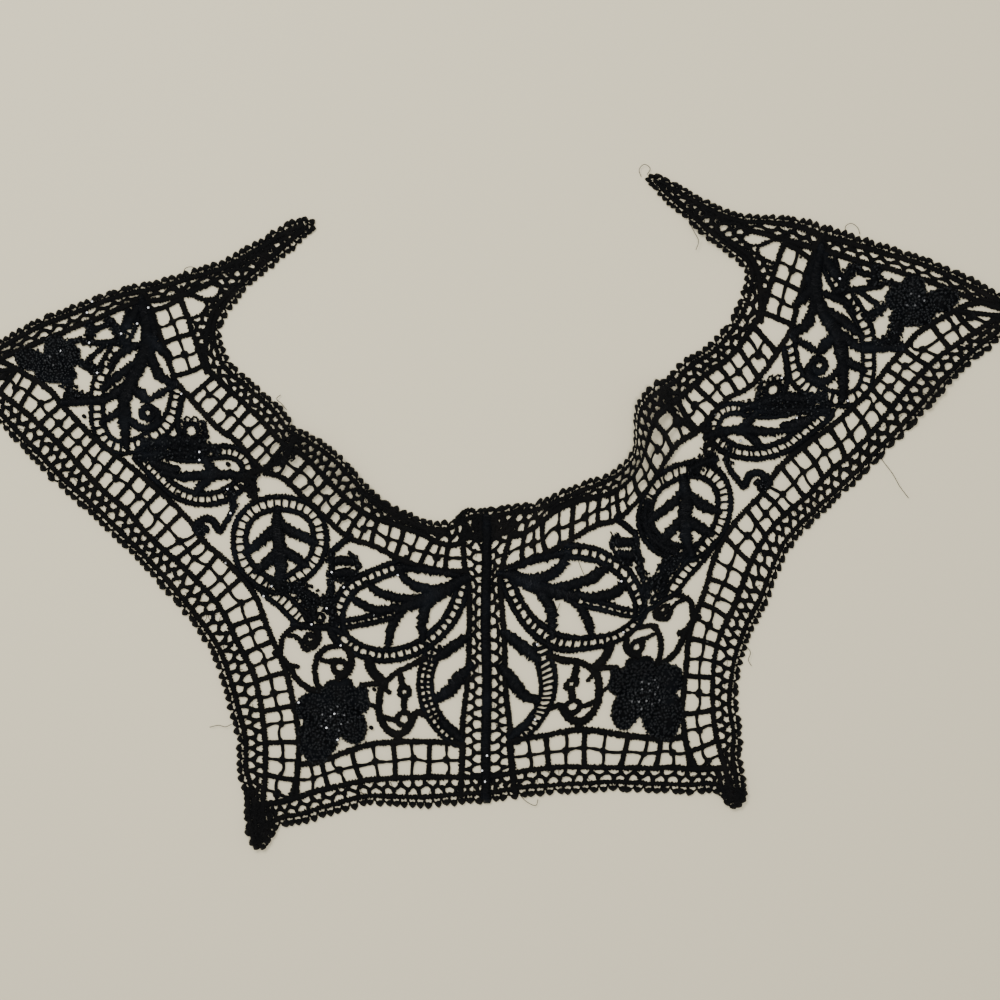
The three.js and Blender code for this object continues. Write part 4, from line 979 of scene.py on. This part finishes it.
SCROLL_SLOTS = {"flower_scrolls": "corded_thread", "hem_scroll": "corded_thread",
                "wing_lobe": "satin_thread"}
# On the right the small curl has slipped over the ring of the round leaf: half width, points.
SLIPPED_CURL = (3.6, [(-86.4, 1.6), (-91.4, 3), (-97.4, 3)])
# Half width of the core of gathered stitching at the most.
GATHER_CORE = 1.5

for seed, side in enumerate(SIDES):
    for number, (name, stems, gathered, curls) in enumerate(SCROLLS):
        rng = np.random.default_rng(200 + 10 * number + seed)
        parts = [satin(stitches(table), half, 0.5 + 0.35 * half, rng) for half, table in stems]
        for half, table in gathered:
            parts += gathers(half, table, rng, most=GATHER_CORE)
        if name == "small_curl" and side == "right":
            parts += gathers(*SLIPPED_CURL, rng, level=2.2, most=GATHER_CORE)
        parts += [curl(*values, rng) for values in curls]
        slot = SCROLL_SLOTS.get(name, "beadwork")
        material = wrapped_cotton if slot == "corded_thread" else satin_rayon
        piece(f"{name}_{side}_cords", side, parts, material, slot, f"{name}_{side}")


# Flowers. Padded petals of satin stitch, five in the front flower and four in the wing's, lie over one
# another round a padded heart, and jet seed beads about 1 mm across are sewn all over them.
# Outlines of the petals, the lowest first and the heart last: x, y.
FLOWERS = {
    "front_flower": [
        [(-54, -72.8), (-50.8, -71.2), (-48, -71.6), (-47.2, -75.6), (-46.4, -78.8), (-48.4, -81.6),
         (-52.8, -82.4), (-56, -79.2)],
        [(-73.6, -86), (-70, -83.6), (-64, -84.4), (-60.4, -88), (-59.4, -92), (-60.4, -96),
         (-64, -100.4), (-68.4, -102.2), (-72.6, -100), (-75, -95.2), (-75.2, -90.5)],
        [(-76.2, -79), (-75.4, -76), (-71.8, -74), (-67.6, -73.4), (-63.4, -75.4), (-61.6, -80),
         (-64.4, -85), (-70, -86.4), (-74.6, -84)],
        [(-66, -73.6), (-64.4, -69.6), (-61.6, -68.4), (-58.8, -69.2), (-56.8, -68), (-54, -68.4),
         (-53.2, -70.8), (-50.8, -73.2), (-51.6, -77.6), (-56.8, -80.8), (-62, -80), (-65.6, -76.8)],
        [(-60, -82.8), (-54.8, -81.2), (-50, -82.4), (-48, -85.6), (-48, -90), (-50, -93.2),
         (-53.6, -94.4), (-57.6, -92), (-60.4, -88)],
        [(-68, -82), (-64, -77.6), (-58.8, -76.4), (-54.4, -79.2), (-53, -84.4), (-56, -90), (-61.4, -92),
         (-66.4, -90), (-69, -86)],
    ],
    "wing_flower": [
        [(-181.2, 56), (-176.4, 58.4), (-170.8, 57.6), (-165.2, 56), (-164, 52.4), (-168.4, 50),
         (-174.8, 50), (-179.6, 51.6)],
        [(-188.4, 62.8), (-185.2, 64.4), (-180.4, 63.2), (-176.4, 60.8), (-177.2, 56), (-182, 54.8),
         (-186.4, 56), (-188.8, 59.2)],
        [(-170, 65.2), (-166, 66), (-162.8, 63.2), (-162.4, 59.6), (-164.4, 56.4), (-168.8, 56),
         (-171.6, 60)],
        [(-177.2, 64.8), (-174.8, 68.8), (-171.6, 70), (-169.2, 68), (-167.6, 64.8), (-169.2, 60.8),
         (-173.2, 59.2), (-176.8, 61.2)],
        [(-177.2, 62.4), (-172.4, 64), (-168.4, 61.2), (-169.2, 56.4), (-174, 54.8), (-178, 57.6)],
    ],
}
PETAL_STEP = 0.8
# Level of a pad's underside, height of its rim, rise of its dome, lift from one pad to the next.
PAD_LEVEL = 0.2
PAD_RIM = 0.9
PAD_CROWN = 1.2
PAD_LIFT = 0.22
# A pad's rings: share of the way out from the middle, and share of the rim's height.
PAD_RINGS = np.array([
    (0.5, 0), (0.94, 0), (1, 0.45), (0.97, 0.8), (0.85, 1), (0.65, 1), (0.42, 1), (0.2, 1),
])
PAD_GROOVE = 0.035
# A seed bead's rings: along the hole and half width, as shares of its size.
BEAD = 1.05
BEAD_BARREL = np.array([(-0.36, 0.28), (-0.2, 0.49), (0.2, 0.49), (0.36, 0.28)])
BEAD_LIFT = 0.16
# Shares of the places that have a bead: within HEART_REACH of the heart and further out.
HEART_REACH = 9
SEWN_NEAR = 0.95
SEWN_FAR = 0.75
# Cut beads lie in a spiral round the heart, each a fixed turn further round in radians and as far out
# as the square root of its number. Their flat tables are about square to the line halfway between a
# small lamp and the eye, so that they glint.
HEART_BEADS = {"front_flower": 14, "wing_flower": 5}
HEART_BEAD = 1.25
HEART_LIFT = 0.5
HEART_SPREAD = 0.06
SPIRAL_STEP = 1.6
SPIRAL_TURN = 2.4
# A cut bead's rings: half width and height, as shares of its size.
CUT_SIDES = 6
CUT_RINGS = np.array([(0.3, -0.4), (0.5, -0.12), (0.5, 0.1), (0.34, 0.34)])
GLINT_LAMP = (100, -120, 1250)
EYE = (2, 4.6, 1200)


def pad(outline, rim):
    """A petal's pad over a closed outline: rings drawn in towards the middle, from the flat underside
    out to the rim, at height rim, and up over a dome that rises as one less the square of the share.
    Its side and top are grooved from the middle out, as satin stitch is."""
    edge = smooth_line(outline, PETAL_STEP, closed=True)[:-1]
    middle = edge.mean(axis=0)
    sides = len(edge)
    share, climb = PAD_RINGS.T
    height = PAD_LEVEL + np.where(climb < 1, rim * climb, rim + PAD_CROWN * (1 - share ** 2))
    groove = 1 + PAD_GROOVE * np.where(np.arange(sides) % 2 == 0, 1, -1)
    spread = share[:, None] * np.where(climb[:, None] > 0, groove, 1)
    ring = middle + (edge - middle) * spread[..., None]
    ring = np.concatenate([ring, np.broadcast_to(height[:, None], spread.shape)[..., None]], axis=2)
    poles = np.array([(*middle, PAD_LEVEL), (*middle, PAD_LEVEL + rim + PAD_CROWN)])
    quads, shut = loft_faces(len(share), sides)
    row, spot = np.divmod(quads[:, 0], sides)
    quad_uv = np.stack([
        np.stack([spot, spot + 1, spot + 1, spot], axis=-1) * PETAL_STEP,
        np.stack([row, row, row + 1, row + 1], axis=-1) * 0.02,
    ], axis=-1)
    one = np.arange(sides)[:, None]
    fan = np.concatenate([one + (0.5, 1, 0), one + (0.5, 0, 1)]) * PETAL_STEP
    shut_uv = np.stack([fan, np.zeros_like(fan)], axis=-1)
    if turns_right(edge):
        quads, shut, quad_uv, shut_uv = (item[:, ::-1] for item in (quads, shut, quad_uv, shut_uv))
    return {"points": np.vstack([ring.reshape(-1, 3), poles]), "quads": quads,
            "quad_uv": quad_uv.reshape(-1, 2), "triangles": shut, "triangle_uv": shut_uv.reshape(-1, 2)}


def turns_right(edge):
    """True where a closed line runs clockwise: its doubled area, by the shoelace sum, is negative."""
    after = np.roll(edge, -1, axis=0)
    return (edge[:, 0] * after[:, 1] - after[:, 0] * edge[:, 1]).sum() < 0


def pad_top(places, outline, rim):
    """Height of a pad's dome at places (n, 2), from each place's share of the way from the middle to
    the outline at its angle; nought outside."""
    edge = smooth_line(outline, PETAL_STEP, closed=True)[:-1]
    middle = edge.mean(axis=0)
    turn = np.arctan2(*(edge - middle).T[::-1])
    order = np.argsort(turn)
    at = np.arctan2(*(places - middle).T[::-1])
    reach = np.interp(at, turn[order], np.linalg.norm(edge - middle, axis=1)[order], period=2 * np.pi)
    share = np.linalg.norm(places - middle, axis=1) / reach
    return np.where(share < 1.03, PAD_LEVEL + rim + PAD_CROWN * (1 - share ** 2), 0)


def beads(places, lean, least, rng):
    """Seed beads at places (n, 3), of random sizes from the share least of BEAD up. Each is a short
    barrel that lies any way round and leans a little, widest in the middle, with its ends drawn in
    towards the hole that the sewing thread goes through."""
    turn = rng.uniform(0, 2 * np.pi, len(places))
    way = np.column_stack([np.cos(turn), np.sin(turn), rng.normal(0, lean, len(places))])
    way = way / np.linalg.norm(way, axis=1, keepdims=True)
    size = BEAD * rng.uniform(least, 1.15, (len(places), 1))
    centre = places[:, None] + way[:, None] * (BEAD_BARREL[:, 0] * size)[..., None]
    wide = size * BEAD_BARREL[:, 1]
    return tube(centre, wide, wide, sides=7, tip=-0.4)


def cut_beads(places, tilt, size):
    """Faceted beads: rings with six corners round an axis that leans by tilt (n, 2) from upright, with
    a flat table on top."""
    count = len(places)
    up = np.column_stack([tilt, np.ones(count)])
    up = up / np.linalg.norm(up, axis=1, keepdims=True)
    side = np.cross(up, (0.0, 1.0, 0.0))
    side = side / np.linalg.norm(side, axis=1, keepdims=True)
    other = np.cross(up, side)
    radius, height = CUT_RINGS.T * size
    turn = np.arange(CUT_SIDES) * 2 * np.pi / CUT_SIDES
    spoke = side[:, None] * np.cos(turn)[None, :, None] + other[:, None] * np.sin(turn)[None, :, None]
    ring = places[:, None, None] + spoke[:, None] * radius[None, :, None, None]
    ring = ring + (up[:, None] * height[None, :, None])[:, :, None]
    poles = np.stack([places + up * height[0], places + up * height[-1]], axis=1)
    points = np.concatenate([ring.reshape(count, -1, 3), poles], axis=1)
    quads, shut = loft_faces(len(CUT_RINGS), CUT_SIDES)
    base = np.arange(count)[:, None, None] * points.shape[1]
    return {
        "points": points.reshape(-1, 3),
        "quads": (quads + base).reshape(-1, 4)[:, ::-1],
        "quad_uv": np.zeros((count * len(quads) * 4, 2)),
        "triangles": (shut + base).reshape(-1, 3)[:, ::-1],
        "triangle_uv": np.zeros((count * len(shut) * 3, 2)),
    }


def glint_tilt(places, side, spread, rng):
    """Lean from upright (n, 2) of tables that face halfway between the lamp and the eye, the sum of the
    unit vectors to them, plus a random share. It is mirrored for beads that are drawn on the left."""
    laid = lay(side, places) * 1000
    to_lamp = GLINT_LAMP - laid
    to_eye = EYE - laid
    halfway = to_lamp / np.linalg.norm(to_lamp, axis=1, keepdims=True)
    halfway = halfway + to_eye / np.linalg.norm(to_eye, axis=1, keepdims=True)
    tilt = halfway[:, :2] / halfway[:, 2:] + rng.normal(0, spread, (len(places), 2))
    return tilt * (-1, 1) if side == "right" else tilt


def jet_material(name, smooth, rough):
    """Jet beads: pressed black glass, fire polished, so nearly black with a gloss that goes from smooth
    to rough over patches some millimetres wide."""
    made = blank_material(name)
    tree = made.node_tree
    place = add(tree, "ShaderNodeTexCoord")
    grain = add(tree, "ShaderNodeTexNoise", [("Scale", 260), ("Detail", 1)], [("Vector", place, "Object")])
    polish = add(tree, "ShaderNodeMapRange", [("To Min", smooth), ("To Max", rough)],
                 [("Value", grain, 0)])
    tint = add(tree, "ShaderNodeMix",
               [("data_type", "RGBA"), (6, linear("#050709")), (7, linear("#070b0e"))], [(0, grain, 0)])
    shader = add(tree, "ShaderNodeBsdfPrincipled", [("IOR", 1.5), ("Specular IOR Level", 0.3)],
                 [("Base Color", tint, 2), ("Roughness", polish, 0)])
    add(tree, "ShaderNodeOutputMaterial", (), [(0, shader, 0)])
    return made


# Seed beads are tumbled, and their small highlights are soft. The beads of the heart are polished all
# over but worn, and glint more broadly.
jet_glass = jet_material("jet glass seed beads", 0.22, 0.5)
polished_jet = jet_material("polished jet beads", 0.28, 0.42)
for seed, side in enumerate(SIDES):
    for number, (name, petals) in enumerate(FLOWERS.items()):
        rng = np.random.default_rng(300 + 10 * number + seed)
        rims = PAD_RIM + PAD_LIFT * np.arange(len(petals))
        pads = [pad(outline, rim) for outline, rim in zip(petals, rims)]
        piece(f"{name}_{side}_petals", side, pads, satin_rayon, "beadwork", f"{name}_{side}")
        low = np.vstack(petals).min(axis=0)
        across, up = np.ptp(np.vstack(petals), axis=0) / BEAD
        column, row = np.meshgrid(np.arange(across), np.arange(up))
        grid = low + np.stack([(column + row % 2 / 2) * BEAD, row * BEAD * 0.92], axis=-1).reshape(-1, 2)
        grid = grid + rng.normal(0, 0.27, grid.shape)
        top = np.max([pad_top(grid, outline, rim) for outline, rim in zip(petals, rims)], axis=0)
        heart = np.mean(petals[-1], axis=0)
        share = np.where(np.linalg.norm(grid - heart, axis=1) < HEART_REACH, SEWN_NEAR, SEWN_FAR)
        sewn = (top > 0) & (rng.random(len(grid)) < share)
        level = top[sewn] + BEAD_LIFT + rng.normal(0, 0.07, sewn.sum())
        places = np.column_stack([grid[sewn], level])
        piece(f"{name}_{side}_beads", side, [beads(places, 0.2, 0.75, rng)], jet_glass, "beadwork")
        rank = np.arange(1, HEART_BEADS[name] + 1)
        turn = SPIRAL_TURN * rank
        radius = SPIRAL_STEP * np.sqrt(rank)
        spots = heart + np.column_stack([radius * np.cos(turn), radius * np.sin(turn)])
        crown = np.max([pad_top(spots, outline, rim) for outline, rim in zip(petals, rims)], axis=0)
        spots = np.column_stack([spots, crown + HEART_LIFT])
        tilt = glint_tilt(spots, side, HEART_SPREAD, rng)
        piece(f"{name}_{side}_heart", side, [cut_beads(spots, tilt, HEART_BEAD)], polished_jet,
              "beadwork", smooth=False)


# Beaded stems. The gathered stems have jet seed beads too, sewn on more thinly: about one bead to a
# square of this side.
STREWN_SPACING = 2.2
STREWN_LEVEL = 2.15

for seed, side in enumerate(SIDES):
    rng = np.random.default_rng(350 + seed)
    strewn = []
    for name, stems, gathered, curls in SCROLLS:
        for half, table in gathered:
            line = smooth_line(table, EDGE_STEP)
            area = len(line) * EDGE_STEP * 2 * half
            pick = rng.integers(0, len(line), round(area / STREWN_SPACING ** 2) + 2)
            off = rng.uniform(-0.85, 0.85, len(pick))
            spot = line[pick] + left_of(line)[pick] * (off * half)[:, None]
            strewn.append(np.column_stack([spot, STREWN_LEVEL + 0.5 * (1 - off ** 2)]))
    strewn_beads = beads(np.vstack(strewn), 0.3, 0.85, rng)
    piece(f"curl_{side}_beads", side, [strewn_beads], jet_glass, "beadwork")


# Cut jet beads. Here and there one faceted bead, 1.3 mm across with a flat table, is sewn on the cords,
# and a few small tufts of thread are left where a thread was fastened off.
CUT_BEADS = [
    (-58.4, -54.8), (-45.2, -42.8), (-70, -46.4), (-132, -12), (-62, -25.6), (-35.6, -26.8),
    (-155.6, 54), (-179.2, 63.2), (-170.4, 62.8), (-151.6, 65.2), (-149.2, 27.6), (-114.8, 19.2),
    (-114.8, 22.4), (-64, -40), (-57.2, -31.6), (-83.6, 4.8), (-103.6, 7.6), (-86, -31.2),
    (-89.2, -35.2), (-75.2, -77.6), (-146, 69.6), (-158.8, 66), (-157.6, 82.4), (-159.6, 78),
    (-135.2, 80), (-139.6, 73.6), (-122, 45.6), (-104.4, -22), (-102.4, -2), (0, -98.8), (-2, -104.8),
    (-0.8, -109.2), (-60.8, -82), (-59, -82.6), (-64, -87.6),
    (-59.6, -92.4), (128.4, 55.6), (123.6, 36), (62.4, -71.2), (144, 42.8), (53.6, -29.2),
    (130.8, 9.6), (88, -53.2), (91.2, 37.2), (120.8, 62.8), (140.8, 91.6), (7.2, -24.8),
    (54.4, -49.6), (125.2, 100), (132.4, 45.2), (54.4, -22), (117.6, 52), (101.2, 26.8), (64.4, -72),
    (20, -54.4), (19.2, -84.4),
]
CUT_BEAD = 1.3
CUT_SPREAD = 0.025
# The beads lie at this level, and at the higher one in the left front flower: its middle and radius.
CUT_LEVEL = 2.6
FLOWER_LEVEL = 4.1
FLOWER_MIDDLE = (-60.8, -86)
FLOWER_RADIUS = 8
TUFTS = np.array([
    (-46.4, -87.6), (-45.2, -72.4), (-123.6, 5.6), (-161.2, 36.8), (-76, -63.2), (-103.6, 17.6),
])
TUFT = 0.95

# The flats of cut beads are ground and polished until they mirror the lamp.
cut_jet = jet_material("cut jet beads", 0.04, 0.08)
rng = np.random.default_rng(400)
in_flower = np.linalg.norm(np.subtract(CUT_BEADS, FLOWER_MIDDLE), axis=1) < FLOWER_RADIUS
cut_places = np.column_stack([CUT_BEADS, np.where(in_flower, FLOWER_LEVEL, CUT_LEVEL)])
tilt = glint_tilt(cut_places, "left", CUT_SPREAD, rng)
piece("cut_jet_beads", "left", [cut_beads(cut_places, tilt, CUT_BEAD)], cut_jet, "beadwork",
      smooth=False)
tuft_knots = knots(np.vstack([TUFTS, TUFTS + (0.4, -0.3)]), TUFT, rng)
piece("thread_tufts", "left", [tuft_knots], wrapped_cotton, "corded_thread")


# Loose threads. The cotton is old and has frayed here and there: single fibres, a quarter of a
# millimetre thick, curl out of the edges and across the windows of the net. Points: x, y.
FRAYS = [
    [(-82.4, 45.2), (-84, 43.6), (-82, 41.6), (-80, 39.2)],
    [(-110.8, -87.6), (-107, -86.8), (-104.4, -87.4), (-102, -86.4)],
    [(13.2, -114.8), (16, -117.4), (19.6, -118.8), (20.4, -116.4)],
    [(103.2, -54.8), (105.2, -57.6), (104.4, -60.8), (105.6, -63)],
    [(155.6, 23), (158.4, 18.4), (162, 13.6), (165, 8.4), (168.4, 4)],
    [(29.2, -38), (28, -41.2), (27, -44)],
    [(36.4, -20.8), (37.6, -24), (39, -27.2)],
    [(-51.6, -90.8), (-49.6, -88.6), (-47.2, -88.4)],
    [(61.6, 132.4), (60.8, 135), (62.8, 137.2), (65.2, 135.6), (64, 133.2)],
    [(80.6, 114.4), (82.6, 110.2), (84.4, 106.4), (83.4, 103)],
    [(-121.6, 92.5), (-120.4, 95.6), (-117.6, 96.2), (-115.8, 94.6)],
    [(143.4, 109.6), (143.2, 112.4), (145.4, 113.6), (148, 112), (149, 109.4)],
    [(-31.2, -28.6), (-29.6, -31.6), (-29, -34.8)],
]
FIBRE = 0.13
FIBRE_STEP = 0.6
FIBRE_LEVEL = 1.2
FIBRE_ARCH = 0.8

rng = np.random.default_rng(500)
fibres = []
for table in FRAYS:
    line = smooth_line(table, FIBRE_STEP)
    arch = FIBRE_ARCH * np.sin(np.linspace(0, np.pi, len(line)))
    height = FIBRE_LEVEL + arch + rng.normal(0, 0.05, len(line))
    fibres.append(tube(np.column_stack([line, height])[None], FIBRE, FIBRE, sides=5))
piece("loose_threads", "left", fibres, wrapped_cotton, "corded_thread")


# Floor, light and camera. A plain pale floor, a large soft lamp and a camera straight above, 400 mm
# of floor across the picture.
FLOOR = "#ddd2b2"
VIEW_CENTRE = np.array([5.2, 3.2]) + FRAME_SHIFT
VIEW_WIDTH = 400
CAMERA_HEIGHT = 1.2
SENSOR = 36

bpy.ops.mesh.primitive_plane_add(size=6, location=(0, 0, 0))
floor = bpy.context.object
floor.name = "floor"
floor_paint = bpy.data.materials.new("pale floor")
floor_paint.use_nodes = True
floor_shader = floor_paint.node_tree.nodes["Principled BSDF"]
floor_shader.inputs["Base Color"].default_value = linear(FLOOR)
floor_shader.inputs["Roughness"].default_value = 0.7
floor.data.materials.append(floor_paint)

world = bpy.data.worlds.new("soft room")
bpy.context.scene.world = world
world.use_nodes = True
world.node_tree.nodes["Background"].inputs["Color"].default_value = linear("#eef0f2")
world.node_tree.nodes["Background"].inputs["Strength"].default_value = 0.58
# Name, place, size across, power in watts.
LAMPS = [
    ("overhead softbox", (-0.35, 0.45, 1.3), 0.7, 20),
    ("small front lamp", (0.1, -0.12, 1.25), 0.2, 7),
]
for name, place, size, power in LAMPS:
    lamp = bpy.data.lights.new(name, "AREA")
    lamp.size = size
    lamp.energy = power
    holder = bpy.data.objects.new(name, lamp)
    holder.location = place
    aim = -np.array(place) / np.linalg.norm(place)
    holder.rotation_euler = (np.arccos(-aim[2]), 0, np.arctan2(aim[0], -aim[1]))
    bpy.context.scene.collection.objects.link(holder)

camera_data = bpy.data.cameras.new("camera")
camera_data.sensor_width = SENSOR
camera_data.lens = SENSOR * CAMERA_HEIGHT * 1000 / VIEW_WIDTH
camera = bpy.data.objects.new("camera", camera_data)
camera.location = (*VIEW_CENTRE / 1000, CAMERA_HEIGHT)
bpy.context.scene.collection.objects.link(camera)
bpy.context.scene.camera = camera
